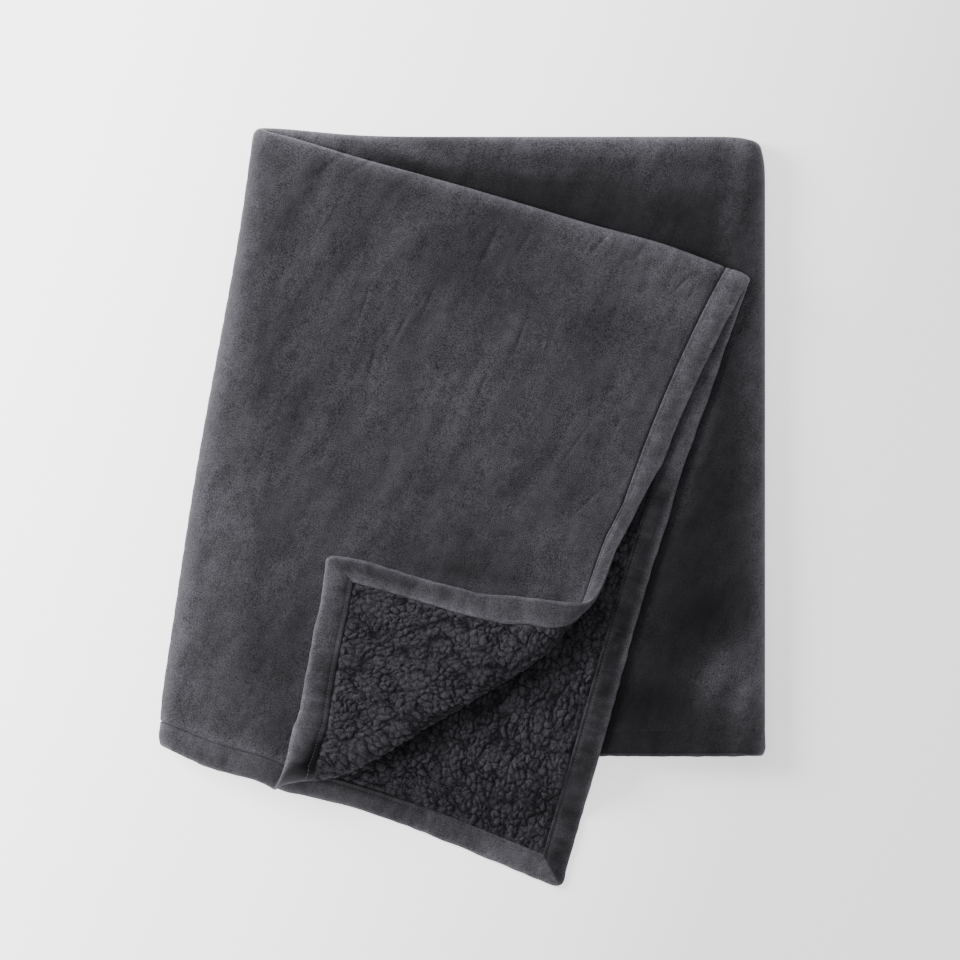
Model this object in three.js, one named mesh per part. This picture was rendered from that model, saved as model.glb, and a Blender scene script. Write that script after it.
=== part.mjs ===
// A throw blanket of velvet and curly pile, folded in half, then in thirds, with one corner turned back.
// Millimetres, +Z up. The origin is on the surface that the pack lies on, below the centre of its box.
//
// Every piece is cut flat, in the throw's own coordinates: s along its length, t across its width and
// h through its thickness, with the velvet side up. It is then scored where it will bend, and folded.

import * as THREE from 'three';

// The throw laid flat
const THROW_LENGTH = 1524;
const THROW_WIDTH = 1270;

// Its two cloths, their meeting plane being h = 0
const VELVET_THICKNESS = 1.5;
const PILE_THICKNESS = 6;
const PIECE_GAP = 0.3;
const VELVET_TOP = PIECE_GAP / 2 + VELVET_THICKNESS;
const PILE_BOTTOM = -PIECE_GAP / 2 - PILE_THICKNESS;

// The binding, and the thin edge of both cloths inside it
const BINDING_WIDTH = 26;
const TONGUE_EDGE = 5.6;
const TONGUE_ROOT = BINDING_WIDTH + 0.8;
const FIELD_EDGE = 32;
const TONGUE_THICKNESS = 0.8;
const TONGUE_TOP = -0.75;
const MITRE_GAP = 0.25;

// Section of the binding: inward is measured from the throw's edge, height as h
const BINDING_SECTION = [
  { inward: BINDING_WIDTH, height: 0.7 },
  { inward: 22, height: VELVET_TOP },
  { inward: 6, height: VELVET_TOP },
  { inward: 0, height: -0.7 },
  { inward: 0, height: -3.3 },
  { inward: 6, height: -5.6 },
  { inward: 22, height: -5.4 },
  { inward: BINDING_WIDTH, height: -4.2 },
  { inward: BINDING_WIDTH, height: -3.2 },
  { inward: 6.4, height: -4.5 },
  { inward: 1.1, height: -2.7 },
  { inward: 1.1, height: -1.3 },
  { inward: 6.4, height: 0.6 },
  { inward: BINDING_WIDTH, height: -0.2 },
];

// The pack, seen from above: its right and upper outlines, and the slanted fold on the left
const PACK_RIGHT = 310;
const PACK_TOP = 379.4;
const LEFT_FOLD_TOP = -210;
const LEFT_FOLD_BOTTOM = -317;

// Folded in half, pile inside, with the bend along the top
const HALF_RADIUS = 6.5;
const HALF_ARC = Math.PI * HALF_RADIUS;
const HALF_WIDTH = (THROW_WIDTH - HALF_ARC) / 2;
const DOUBLED_REACH = HALF_RADIUS + VELVET_TOP;
const HALF_FOLD_Y = PACK_TOP - DOUBLED_REACH;
const PACK_BOTTOM = HALF_FOLD_Y - HALF_WIDTH;

// Folded in thirds, first under on the right, then over on the left
const THIRD_RADIUS = DOUBLED_REACH + 0.9;
const THIRD_ARC = Math.PI * THIRD_RADIUS;
const FOLD_REACH = THIRD_RADIUS + DOUBLED_REACH;
const MIDDLE_HEIGHT = DOUBLED_REACH + 2 * THIRD_RADIUS;
const FLAP_HEIGHT = MIDDLE_HEIGHT + 2 * THIRD_RADIUS;
const RIGHT_FOLD_X = PACK_RIGHT - FOLD_REACH;
const UNDER_LENGTH = 506;

// The left fold starts along this slanted line, and the cloth beyond it swings over the pack
const leftFoldTop = new THREE.Vector2(LEFT_FOLD_TOP + FOLD_REACH, PACK_TOP);
const leftFoldBottom = new THREE.Vector2(LEFT_FOLD_BOTTOM + FOLD_REACH, PACK_BOTTOM);
const leftFoldDown = leftFoldBottom.clone().sub(leftFoldTop).normalize();
const leftFoldOut = new THREE.Vector2(leftFoldDown.y, -leftFoldDown.x);

// How far the flap is pulled out of square: at its free corners, and in bows along its edges
const FLAP_LENGTH = 500;
const UPPER_PULL = { x: 13, y: 27, ease: 0.35 };
const LOWER_PULL = { x: 36, y: -10 };
const LOWER_BOW = { rise: 19, skew: 1.3 };
const FREE_EDGE_BOW = 14;
// The upper layer of the flap lies drawn in towards the left, and lower where its corner is turned back
const SLACK = { left: 42.5, reach: 0.28, down: 14 };

// The turned-back corner: the upper layer rolled round a flattened cone whose tip lies off the cloth.
// A row for each distance from the tip, in degrees from +X: where the cloth starts to lift, the line that
// it turns over, and the roll's outer line seen from above; then how high the roll stands
const CONE_TIP = new THREE.Vector2(-249, -352);
const CONE = [
  { distance: 105, start: 46.2, axis: 37, outline: 41.2, height: 15 },
  { distance: 133, start: 42.2, axis: 35.2, outline: 34.4, height: 14 },
  { distance: 170, start: 37.8, axis: 32.9, outline: 32, height: 12 },
  { distance: 280, start: 35.6, axis: 30.7, outline: 31.5, height: 14 },
  { distance: 345, start: 36, axis: 29.9, outline: 31.5, height: 18 },
  { distance: 375, start: 36.3, axis: 30.2, outline: 31.6, height: 20.5 },
  { distance: 395, start: 36.5, axis: 30.9, outline: 31.9, height: 22 },
  { distance: 420, start: 37.2, axis: 31.4, outline: 33, height: 26 },
  { distance: 445, start: 37.9, axis: 31.7, outline: 33.7, height: 29.7 },
  { distance: 480, start: 39.2, axis: 29.5, outline: 34.5, height: 33.6 },
  { distance: 510, start: 40.3, axis: 29.2, outline: 35.7, height: 36 },
  { distance: 575, start: 41.2, axis: 29.2, outline: 36.5, height: 36 },
];
const ROLL_SETTLING = 110;
const LAYER_CENTRE = (VELVET_TOP + PILE_BOTTOM) / 2;
const TURNED_HEIGHT = VELVET_TOP - PILE_BOTTOM + 1.6;

// Past the pack's lower edge the flap hangs down to the surface
const DROP_HEIGHT = 4 * THIRD_RADIUS;
const DROP_START = 3;
const DROP_LENGTH = 62;

// Left of where the under third ends, the rest of the pack sinks to the surface
const SAG_DEPTH = 2 * THIRD_RADIUS - 0.3;
const SAG_START = -199;
const SAG_LENGTH = 100;

// Pushes that make the outline uneven, each fading out within its reach
const NUDGES = [
  { place: 'upper left corner', x: -205, y: 386, reach: 75, dx: -2, dy: 9 },
  { place: 'lower left corner', x: -316, y: -252, reach: 42, dx: 6, dy: 12 },
  { place: 'left fold', x: -270, y: 40, reach: 170, dx: -4, dy: 0 },
  { place: 'upper edge of the flap', x: 205, y: 262, reach: 60, dx: 0, dy: 4 },
  { place: 'upper right corner', x: 312, y: 382, reach: 22, dx: -5, dy: -5 },
  { place: 'turned corner', x: -134, y: -43, reach: 26, dx: -4, dy: -3 },
  { place: 'end of the roll', x: -160, y: -293, reach: 28, dx: -20, dy: 2 },
];

// Soft ridges: the middle of each, its direction, half length and half width, and its rise
const RIDGES = [
  { layer: 'middle', x: -62, y: 368, degrees: -10, length: 80, width: 11, rise: 3 },
  { layer: 'flap', x: -150, y: 250, degrees: 58, length: 80, width: 24, rise: 1.5 },
  { layer: 'flap', x: 50, y: 40, degrees: 62, length: 80, width: 28, rise: 2 },
  { layer: 'flap', x: 120, y: 190, degrees: 50, length: 70, width: 26, rise: 1.5 },
];

// Scoring: how finely each bend is parted, and where the lines that fan out from the cone's tip run
const ARC_STEPS = 6;
const CONE_LINES = [47, 44, 41, 38.7, 36.6, 35, 33.5, 32, 30.5, 29, 27.5, 25.5, 22, 15, 6];
const DROP_STEPS = 6;
const SAG_STEPS = 5;
const GRID_STEP = 90;
const RIDGE_SCORE = 0.65;
const CONE_SCORE = { from: 150, to: 470 };
const DROP_SCORE = { from: -200, to: 100 };
const SAG_SCORE = { from: 300, to: -250 };
const SNAP = 0.6;

// Parting faces into triangles
const FLAT_EAR = 0.02;
const SLANT_BIAS = 0.01;
const ORDER_BIAS = 0.000001;

const SEARCH_START = -200;
const SEARCH_STEPS = 12;

const plan = (x, y) => new THREE.Vector2(x, y);
const smooth = (value) => THREE.MathUtils.smoothstep(value, 0, 1);
const mix = THREE.MathUtils.lerp;

// Half fold: from across the throw to a place in the doubled strip, w being its height over the strip's
// middle, with the share of the upper layer in it
function foldInHalf(t, h) {
  const angle = THREE.MathUtils.clamp((t - HALF_WIDTH) / HALF_RADIUS, 0, Math.PI);
  const reach = HALF_RADIUS + h;
  const fromBend = Math.min(t, THROW_WIDTH - t) - HALF_WIDTH;
  return {
    y: HALF_FOLD_Y + reach * Math.sin(angle) + Math.min(fromBend, 0),
    w: reach * Math.cos(angle),
    upperShare: (1 + Math.cos(angle)) / 2,
  };
}

// How far a point of the straight strip lies past the start of the left fold
function pastLeftFold(x, y) {
  return plan(x, y).sub(leftFoldTop).dot(leftFoldOut);
}

// The flap's own plan: swung over, pulled out of square, and its upper layer drawn in
function layFlap(x, y, upperShare) {
  const past = pastLeftFold(x, y) - THIRD_ARC;
  const place = plan(x, y).addScaledVector(leftFoldOut, -2 * past - THIRD_ARC);
  const along = past / FLAP_LENGTH;
  const down = (PACK_TOP - y) / (PACK_TOP - PACK_BOTTOM);
  const eased = (1 - Math.exp(-along / UPPER_PULL.ease)) / (1 - Math.exp(-1 / UPPER_PULL.ease));
  place.x += mix(UPPER_PULL.x, LOWER_PULL.x, down) * along;
  place.y += mix(UPPER_PULL.y * eased, LOWER_PULL.y * along, down);
  place.y += LOWER_BOW.rise * Math.sin(Math.PI * along) * (LOWER_BOW.skew - along) * down ** 3;
  place.x -= FREE_EDGE_BOW * Math.sin(Math.PI * down) * along ** 2;
  place.x -= upperShare * SLACK.left * along ** 2 * (1 - Math.exp(-Math.max(down, 0) / SLACK.reach));
  place.y -= upperShare * SLACK.down * smooth((along - 0.16) / 0.24) * Math.max(down, 0) ** 6;
  return place;
}

// A column of the cone's table at a distance from its tip
function coneAt(distance, column) {
  const next = CONE.findIndex((row) => row.distance > distance);
  if (next <= 0) {
    return (next < 0 ? CONE[CONE.length - 1] : CONE[0])[column];
  }
  const [before, after] = [CONE[next - 1], CONE[next]];
  const share = (distance - before.distance) / (after.distance - before.distance);
  return mix(before[column], after[column], share);
}

const coneAngleAt = (distance, column) => THREE.MathUtils.degToRad(coneAt(distance, column));

// The corner of the upper layer goes round the cone and comes back over the flap
function turnCorner(place, z, centre) {
  const arm = place.clone().sub(CONE_TIP);
  const distance = arm.length();
  const start = coneAngleAt(distance, 'start');
  const wrap = 2 * (start - coneAngleAt(distance, 'axis'));
  const beyond = start - Math.atan2(arm.y, arm.x);
  if (beyond <= 0) {
    return { place, z };
  }
  const above = z - centre;
  const turn = Math.PI * Math.min(beyond / wrap, 1);
  const rest = Math.max(beyond - wrap, 0);
  const swing = start - (start - coneAngleAt(distance, 'outline')) * Math.sin(turn) + rest;
  const turned = CONE_TIP.clone().add(plan(Math.cos(swing), Math.sin(swing)).multiplyScalar(distance));
  turned.addScaledVector(plan(Math.sin(start), -Math.cos(start)), -above * Math.sin(turn));
  const lift = mix(coneAt(distance, 'height'), TURNED_HEIGHT, smooth(distance * rest / ROLL_SETTLING));
  return { place: turned, z: centre + lift * (1 - Math.cos(turn)) / 2 + above * Math.cos(turn) };
}

function hangOverEdge(place, z) {
  const past = (PACK_BOTTOM - DROP_START - place.y) / DROP_LENGTH;
  return z - DROP_HEIGHT * smooth(past);
}

// The last unevenness: the sag on the left, pushes in plan, and ridges
function settle(place) {
  const settled = place.clone();
  settled.z -= SAG_DEPTH * smooth((SAG_START - place.x) / SAG_LENGTH);
  for (const { x, y, reach, dx, dy } of NUDGES) {
    const share = Math.exp(-((place.x - x) ** 2 + (place.y - y) ** 2) / reach ** 2);
    settled.x += dx * share;
    settled.y += dy * share;
  }
  for (const { layer, x, y, degrees, length, width, rise } of RIDGES) {
    const turn = THREE.MathUtils.degToRad(-degrees);
    const offset = plan(place.x - x, place.y - y).rotateAround(plan(0, 0), turn);
    const share = Math.exp(-((offset.x / length) ** 2) - (offset.y / width) ** 2);
    const below = layer === 'flap' ? FLAP_HEIGHT : MIDDLE_HEIGHT;
    settled.z += rise * share * THREE.MathUtils.clamp((place.z - below) / DOUBLED_REACH, 0, 1);
  }
  return settled;
}

// The place in the folded pack of a point of the flat throw
function fold(s, t, h) {
  const { y, w, upperShare } = foldInHalf(t, h);
  const x = RIGHT_FOLD_X + UNDER_LENGTH - s;
  const pastRight = x - RIGHT_FOLD_X;
  if (pastRight > 0) {
    const angle = Math.min(pastRight / THIRD_RADIUS, Math.PI);
    const rest = Math.max(pastRight - THIRD_ARC, 0);
    const reach = THIRD_RADIUS - w;
    return new THREE.Vector3(
      RIGHT_FOLD_X + reach * Math.sin(angle) - rest,
      y,
      MIDDLE_HEIGHT - THIRD_RADIUS + reach * Math.cos(angle),
    );
  }
  const pastLeft = pastLeftFold(x, y);
  if (pastLeft <= 0) {
    return new THREE.Vector3(x, y, MIDDLE_HEIGHT - w);
  }
  if (pastLeft < THIRD_ARC) {
    const angle = pastLeft / THIRD_RADIUS;
    const reach = THIRD_RADIUS + w;
    const place = plan(x, y).addScaledVector(leftFoldOut, reach * Math.sin(angle) - pastLeft);
    return new THREE.Vector3(place.x, place.y, MIDDLE_HEIGHT + THIRD_RADIUS - reach * Math.cos(angle));
  }
  const flat = layFlap(x, y, upperShare);
  const isUpper = t < HALF_WIDTH;
  const centre = FLAP_HEIGHT + HALF_RADIUS + LAYER_CENTRE;
  const turned = isUpper ? turnCorner(flat, FLAP_HEIGHT + w, centre) : { place: flat, z: FLAP_HEIGHT + w };
  return new THREE.Vector3(turned.place.x, turned.place.y, hangOverEdge(turned.place, turned.z));
}

// Until they are folded, pieces are lists of points [s, t, h] and of faces, each a loop of points
function signedVolume(piece) {
  const corner = (index) => new THREE.Vector3(...piece.points[index]);
  const triangles = piece.faces.flatMap((face) => faceTriangles(face, piece.points));
  return triangles.reduce((sum, [a, b, c]) => sum + corner(a).dot(corner(b).cross(corner(c))) / 6, 0);
}

function facingOut(piece) {
  if (signedVolume(piece) > 0) {
    return piece;
  }
  return { points: piece.points, faces: piece.faces.map((face) => [...face].reverse()) };
}

// A panel: a slab over a grid whose two faces are as high as its section says
function cutPanel(section) {
  const inward = section.map((row) => row.inward);
  const lines = (size) => [...inward, ...inward.map((value) => size - value).reverse()];
  const sLines = lines(THROW_LENGTH);
  const tLines = lines(THROW_WIDTH);
  const points = [];
  const faces = [];
  const last = section.length - 1;
  const ring = (i, count) => Math.min(i, count - 1 - i, last);
  for (let side = 0; side < 2; side += 1) {
    for (let i = 0; i < sLines.length; i += 1) {
      for (let j = 0; j < tLines.length; j += 1) {
        const row = section[Math.min(ring(i, sLines.length), ring(j, tLines.length))];
        points.push([sLines[i], tLines[j], side ? row.top : row.bottom]);
      }
    }
  }
  const layer = sLines.length * tLines.length;
  const at = (i, j, side) => side * layer + i * tLines.length + j;
  const quad = (...corners) => faces.push(corners);
  for (let i = 0; i < sLines.length - 1; i += 1) {
    for (let j = 0; j < tLines.length - 1; j += 1) {
      quad(at(i, j, 1), at(i + 1, j, 1), at(i + 1, j + 1, 1), at(i, j + 1, 1));
      quad(at(i, j, 0), at(i, j + 1, 0), at(i + 1, j + 1, 0), at(i + 1, j, 0));
    }
  }
  const endS = sLines.length - 1;
  const endT = tLines.length - 1;
  for (let i = 0; i < endS; i += 1) {
    quad(at(i, 0, 0), at(i + 1, 0, 0), at(i + 1, 0, 1), at(i, 0, 1));
    quad(at(i + 1, endT, 0), at(i, endT, 0), at(i, endT, 1), at(i + 1, endT, 1));
  }
  for (let j = 0; j < endT; j += 1) {
    quad(at(endS, j, 0), at(endS, j + 1, 0), at(endS, j + 1, 1), at(endS, j, 1));
    quad(at(0, j + 1, 0), at(0, j, 0), at(0, j, 1), at(0, j + 1, 1));
  }
  return facingOut({ points, faces });
}

// A binding strip of a given length, mitred at both ends, set along one side of the throw
function cutBinding(length, toThrow) {
  const count = BINDING_SECTION.length;
  const points = [];
  const faces = [];
  for (const end of [0, 1]) {
    for (const { inward, height } of BINDING_SECTION) {
      const mitre = inward + MITRE_GAP;
      points.push(toThrow(end ? length - mitre : mitre, inward, height));
    }
  }
  for (let i = 0; i < count; i += 1) {
    const next = (i + 1) % count;
    faces.push([i, next, count + next, count + i]);
  }
  const outline = BINDING_SECTION.map(({ inward, height }) => plan(inward, height));
  for (const [a, b, c] of THREE.ShapeUtils.triangulateShape(outline, [])) {
    faces.push([c, b, a], [count + a, count + b, count + c]);
  }
  return facingOut({ points, faces });
}

// Score a piece along a line of the flat throw, where a test on (s, t) allows it. Faces that only share
// a scored side get the new point too, so that the piece stays closed.
function score(piece, line, region) {
  const { points, faces } = piece;
  const offset = points.map(([s, t]) => (s - line.s) * line.across[0] + (t - line.t) * line.across[1]);
  const grown = [...points];
  const cuts = new Map();
  const edgeKey = (a, b) => (a < b ? `${a} ${b}` : `${b} ${a}`);
  const isOn = (index) => index >= points.length || Math.abs(offset[index]) <= SNAP;
  const crosses = (a, b) => !isOn(a) && !isOn(b) && offset[a] * offset[b] < 0;
  const isInside = faces.map((face) => region(...faceCentre(face, points)));
  faces.filter((_, index) => isInside[index]).forEach((face) => {
    face.forEach((a, corner) => {
      const b = face[(corner + 1) % face.length];
      if (crosses(a, b) && !cuts.has(edgeKey(a, b))) {
        const share = offset[a] / (offset[a] - offset[b]);
        cuts.set(edgeKey(a, b), grown.length);
        grown.push(points[a].map((value, axis) => mix(value, points[b][axis], share)));
      }
    });
  });
  const withCuts = (face) => face.flatMap((a, corner) => {
    const cut = cuts.get(edgeKey(a, face[(corner + 1) % face.length]));
    return cut === undefined ? [a] : [a, cut];
  });
  const side = (index) => (isOn(index) ? 0 : Math.sign(offset[index]));
  const parted = faces.flatMap((face, index) => {
    const loop = withCuts(face);
    return isInside[index] ? partFace(loop, side) : [loop];
  });
  return { points: grown, faces: parted };
}

function faceCentre(face, points) {
  return [0, 1].map((axis) => face.reduce((sum, index) => sum + points[index][axis], 0) / face.length);
}

// Part a face that has corners on both sides of the line at the two corners that lie on it
function partFace(loop, side) {
  const count = loop.length;
  const sides = loop.map(side);
  if (!sides.includes(1) || !sides.includes(-1)) {
    return [loop];
  }
  const first = sides.findIndex((value, i) => value === 0 && sides[(i + 1) % count] === 1);
  const turned = [...loop.slice(first), ...loop.slice(0, first)];
  const turnedSides = turned.map(side);
  const second = turnedSides.findIndex((value, i) => i > 0 && value !== 1);
  return [turned.slice(0, second + 1), [...turned.slice(second), turned[0]]];
}

// Triangles of a face, cut off at its shortest diagonals, which are chosen alike in both cloths
function faceTriangles(face, points) {
  const loop = [...face];
  const triangles = [];
  const corner = (index) => new THREE.Vector3(...points[index]);
  while (loop.length > 3) {
    const ears = loop.map((index, i) => {
      const before = loop[(i + loop.length - 1) % loop.length];
      const after = loop[(i + 1) % loop.length];
      const toBefore = corner(before).sub(corner(index));
      const toAfter = corner(after).sub(corner(index));
      const diagonal = toAfter.clone().sub(toBefore);
      const slant = SLANT_BIAS * Math.sign(diagonal.x * diagonal.y);
      const order = ORDER_BIAS * (points[index][0] + points[index][1]);
      const length = Math.hypot(diagonal.x, diagonal.y) + slant + order;
      const isFlat = toBefore.cross(toAfter).length() < FLAT_EAR * diagonal.length();
      return { i, before, index, after, length: isFlat ? Infinity : length };
    });
    const ear = ears.reduce((best, other) => (other.length < best.length ? other : best));
    triangles.push([ear.before, ear.index, ear.after]);
    loop.splice(ear.i, 1);
  }
  triangles.push(loop);
  return triangles;
}

// The flat throw's point under a point of the flap's plan
function flatPointUnder(target, upperShare) {
  const found = plan(SEARCH_START, 0);
  for (let step = 0; step < SEARCH_STEPS; step += 1) {
    const error = target.clone().sub(layFlap(found.x, found.y, upperShare));
    const outward = error.dot(leftFoldOut);
    found.add(error).addScaledVector(leftFoldOut, -2 * outward);
  }
  const s = RIGHT_FOLD_X + UNDER_LENGTH - found.x;
  const fromEdge = found.y - PACK_BOTTOM;
  return { s, t: upperShare > 0.5 ? fromEdge : THROW_WIDTH - fromEdge };
}

// The flat throw's point under a point of the middle third's upper layer
function flatPointInMiddle(target) {
  return { s: RIGHT_FOLD_X + UNDER_LENGTH - target.x, t: THROW_WIDTH - (target.y - PACK_BOTTOM) };
}

function lineThrough(from, to) {
  const length = Math.hypot(to.s - from.s, to.t - from.t);
  return { s: from.s, t: from.t, across: [(to.t - from.t) / length, (from.s - to.s) / length] };
}

const isUpperHalf = (s, t) => t < HALF_WIDTH;
const isLowerHalf = (s, t) => t > HALF_WIDTH + HALF_ARC;
const LEFT_FOLD_S = RIGHT_FOLD_X + UNDER_LENGTH - leftFoldTop.x;
const stripX = (s) => RIGHT_FOLD_X + UNDER_LENGTH - s;
const stripS = (x) => RIGHT_FOLD_X + UNDER_LENGTH - x;
const stripY = (t) => PACK_BOTTOM + Math.min(t, THROW_WIDTH - t);
const pastUnder = (s) => s > UNDER_LENGTH;
const onFlap = (s, t) => pastLeftFold(stripX(s), stripY(t)) > THIRD_ARC;
const isInArc = (s, t) => pastLeftFold(stripX(s), stripY(t)) > 0 && !onFlap(s, t);
const onMiddle = (s, t) => pastUnder(s) && !isInArc(s, t) && !onFlap(s, t);

// The lines of a plain grid over the flap and the upper layer of the middle third. Those across the
// length also run where the cloth bends or sags
function gridLines() {
  const lines = [];
  const shows = (s, t) => pastUnder(s) && !isInArc(s, t) && (onFlap(s, t) || isLowerHalf(s, t));
  const sags = (s, t) => onMiddle(s, t) && stripX(s) < SAG_START;
  const showsOrBends = (s, t) => shows(s, t) || isInArc(s, t) || sags(s, t);
  for (let s = UNDER_LENGTH + GRID_STEP / 2; s < THROW_LENGTH - GRID_STEP / 2; s += GRID_STEP) {
    lines.push({ line: { s, t: 0, across: [1, 0] }, region: shows });
  }
  for (let t = GRID_STEP; t < THROW_WIDTH; t += GRID_STEP) {
    lines.push({ line: { s: 0, t, across: [0, 1] }, region: showsOrBends });
  }
  return lines;
}

// Every line along which the throw bends, with the region that it is scored in
function bendLines() {
  const lines = [];
  const acrossS = (s, region) => lines.push({ line: { s, t: 0, across: [1, 0] }, region });
  const acrossT = (t, region) => lines.push({ line: { s: 0, t, across: [0, 1] }, region });
  const everywhere = () => true;
  for (let step = 0; step <= ARC_STEPS; step += 1) {
    acrossT(HALF_WIDTH + HALF_ARC * step / ARC_STEPS, everywhere);
    acrossS(UNDER_LENGTH - THIRD_ARC * step / ARC_STEPS, everywhere);
  }
  const slant = -leftFoldDown.x / leftFoldDown.y;
  const slantLength = Math.hypot(1, slant);
  for (let step = 0; step <= ARC_STEPS; step += 1) {
    const s = LEFT_FOLD_S + THIRD_ARC * step / ARC_STEPS * slantLength;
    acrossS(s, (_, t) => !isUpperHalf(0, t) && !isLowerHalf(0, t));
    const slanted = (t, side) => lineThrough({ s, t }, { s: s - slant, t: t + side });
    lines.push({ line: slanted(HALF_WIDTH, -1), region: isUpperHalf });
    lines.push({ line: slanted(HALF_WIDTH + HALF_ARC, 1), region: isLowerHalf });
  }
  return lines;
}

// Three lines along each ridge, no longer than the ridge
function ridgeLines() {
  return RIDGES.flatMap(({ layer, x, y, degrees, length, width }) => [-1, 0, 1].map((side) => {
    const along = plan(1, 0).rotateAround(plan(0, 0), THREE.MathUtils.degToRad(degrees));
    const middle = plan(x, y).add(plan(-along.y, along.x).multiplyScalar(side * width));
    const onFlat = (point) => (layer === 'flap' ? flatPointUnder(point, 1) : flatPointInMiddle(point));
    const from = onFlat(middle.clone().addScaledVector(along, -length));
    const to = onFlat(middle.clone().addScaledVector(along, length));
    const isOnLayer = layer === 'flap' ? isUpperHalf : isLowerHalf;
    const reach = Math.hypot(to.s - from.s, to.t - from.t) * RIDGE_SCORE;
    const isNear = (s, t) => Math.hypot(s - (from.s + to.s) / 2, t - (from.t + to.t) / 2) < reach;
    const isInPlace = layer === 'flap' ? onFlap : onMiddle;
    const region = (s, t) => isOnLayer(s, t) && isInPlace(s, t) && isNear(s, t);
    return { line: lineThrough(from, to), region };
  }));
}

// Lines from the cone's tip, close together where the cloth goes round it
function coneLines() {
  return CONE_LINES.map((degrees) => {
    const angle = THREE.MathUtils.degToRad(degrees);
    const onRay = (distance) => plan(Math.cos(angle), Math.sin(angle)).multiplyScalar(distance).add(CONE_TIP);
    const line = lineThrough(
      flatPointUnder(onRay(CONE_SCORE.from), 1),
      flatPointUnder(onRay(CONE_SCORE.to), 1),
    );
    return { line, region: (s, t) => isUpperHalf(s, t) && onFlap(s, t) };
  });
}

function dropLines() {
  const lines = [];
  for (let step = 0; step <= DROP_STEPS; step += 1) {
    const y = PACK_BOTTOM - DROP_START - DROP_LENGTH * step / DROP_STEPS;
    for (const upperShare of [0, 1]) {
      const line = lineThrough(
        flatPointUnder(plan(DROP_SCORE.from, y), upperShare),
        flatPointUnder(plan(DROP_SCORE.to, y), upperShare),
      );
      const isHere = upperShare ? isUpperHalf : isLowerHalf;
      lines.push({ line, region: (s, t) => isHere(s, t) && onFlap(s, t) });
    }
  }
  return lines;
}

// The lines of the sag run straight up and down the folded pack, in every layer of it
function sagLines() {
  const lines = [];
  for (let step = 0; step < SAG_STEPS; step += 1) {
    const x = SAG_START - SAG_LENGTH * step / SAG_STEPS;
    lines.push({ line: { s: stripS(x), t: 0, across: [1, 0] }, region: onMiddle });
    for (const upperShare of [0, 1]) {
      const line = lineThrough(
        flatPointUnder(plan(x, SAG_SCORE.from), upperShare),
        flatPointUnder(plan(x, SAG_SCORE.to), upperShare),
      );
      const isHere = upperShare ? isUpperHalf : isLowerHalf;
      lines.push({ line, region: (s, t) => isHere(s, t) && onFlap(s, t) });
    }
  }
  return lines;
}

function foldPiece(name, flat, colour, roughness) {
  const allLines = [bendLines, sagLines, gridLines, ridgeLines, coneLines, dropLines];
  const scored = allLines
    .flatMap((makeLines) => makeLines())
    .reduce((piece, { line, region }) => score(piece, line, region), flat);
  const places = scored.points.map((point) => settle(fold(...point)));
  const geometry = new THREE.BufferGeometry().setFromPoints(places);
  geometry.setIndex(scored.faces.flatMap((face) => faceTriangles(face, scored.points)).flat());
  geometry.computeVertexNormals();
  const material = new THREE.MeshStandardMaterial({ color: colour, roughness, metalness: 0 });
  const mesh = new THREE.Mesh(geometry, material);
  mesh.name = name;
  return mesh;
}

const VELVET_SECTION = [
  { inward: TONGUE_EDGE, top: TONGUE_TOP, bottom: TONGUE_TOP - TONGUE_THICKNESS },
  { inward: TONGUE_ROOT, top: TONGUE_TOP, bottom: TONGUE_TOP - TONGUE_THICKNESS },
  { inward: FIELD_EDGE, top: VELVET_TOP, bottom: PIECE_GAP / 2 },
];
const PILE_TONGUE_TOP = TONGUE_TOP - TONGUE_THICKNESS - PIECE_GAP;
const PILE_SECTION = [
  { inward: TONGUE_EDGE, top: PILE_TONGUE_TOP, bottom: PILE_TONGUE_TOP - TONGUE_THICKNESS },
  { inward: TONGUE_ROOT, top: PILE_TONGUE_TOP, bottom: PILE_TONGUE_TOP - TONGUE_THICKNESS },
  { inward: FIELD_EDGE, top: -PIECE_GAP / 2, bottom: PILE_BOTTOM },
];

const VELVET_COLOUR = 0x48484e;
const PILE_COLOUR = 0x3b3b40;
const BINDING_COLOUR = 0x56565c;

const throwBlanket = new THREE.Group();
throwBlanket.add(
  foldPiece('velvet_panel', cutPanel(VELVET_SECTION), VELVET_COLOUR, 0.8),
  foldPiece('pile_panel', cutPanel(PILE_SECTION), PILE_COLOUR, 0.95),
  foldPiece(
    'binding_first_side',
    cutBinding(THROW_LENGTH, (along, inward, h) => [along, inward, h]),
    BINDING_COLOUR,
    0.75,
  ),
  foldPiece(
    'binding_second_side',
    cutBinding(THROW_LENGTH, (along, inward, h) => [along, THROW_WIDTH - inward, h]),
    BINDING_COLOUR,
    0.75,
  ),
  foldPiece(
    'binding_flap_end',
    cutBinding(THROW_WIDTH, (along, inward, h) => [THROW_LENGTH - inward, along, h]),
    BINDING_COLOUR,
    0.75,
  ),
  foldPiece(
    'binding_under_end',
    cutBinding(THROW_WIDTH, (along, inward, h) => [inward, along, h]),
    BINDING_COLOUR,
    0.75,
  ),
);

// The origin goes below the centre of the box
const box = new THREE.Box3().setFromObject(throwBlanket);
const centre = box.getCenter(new THREE.Vector3());
throwBlanket.children.forEach((piece) => piece.geometry.translate(-centre.x, -centre.y, -box.min.z));

export default throwBlanket;
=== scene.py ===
# %% [markdown]
# # A folded throw, velvet on one face and curly pile on the other
# The throw lies folded in half and then in thirds, and a corner of its top layer is turned back.
# It could be draped by a cloth simulation, but that wouldn't land on the solids that it has to fit.
# Each real piece is cut flat and then folded, so the lesson writes the fold down once, as functions,
# and sends every piece through it.

# %% Load the frame
import math

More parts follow.
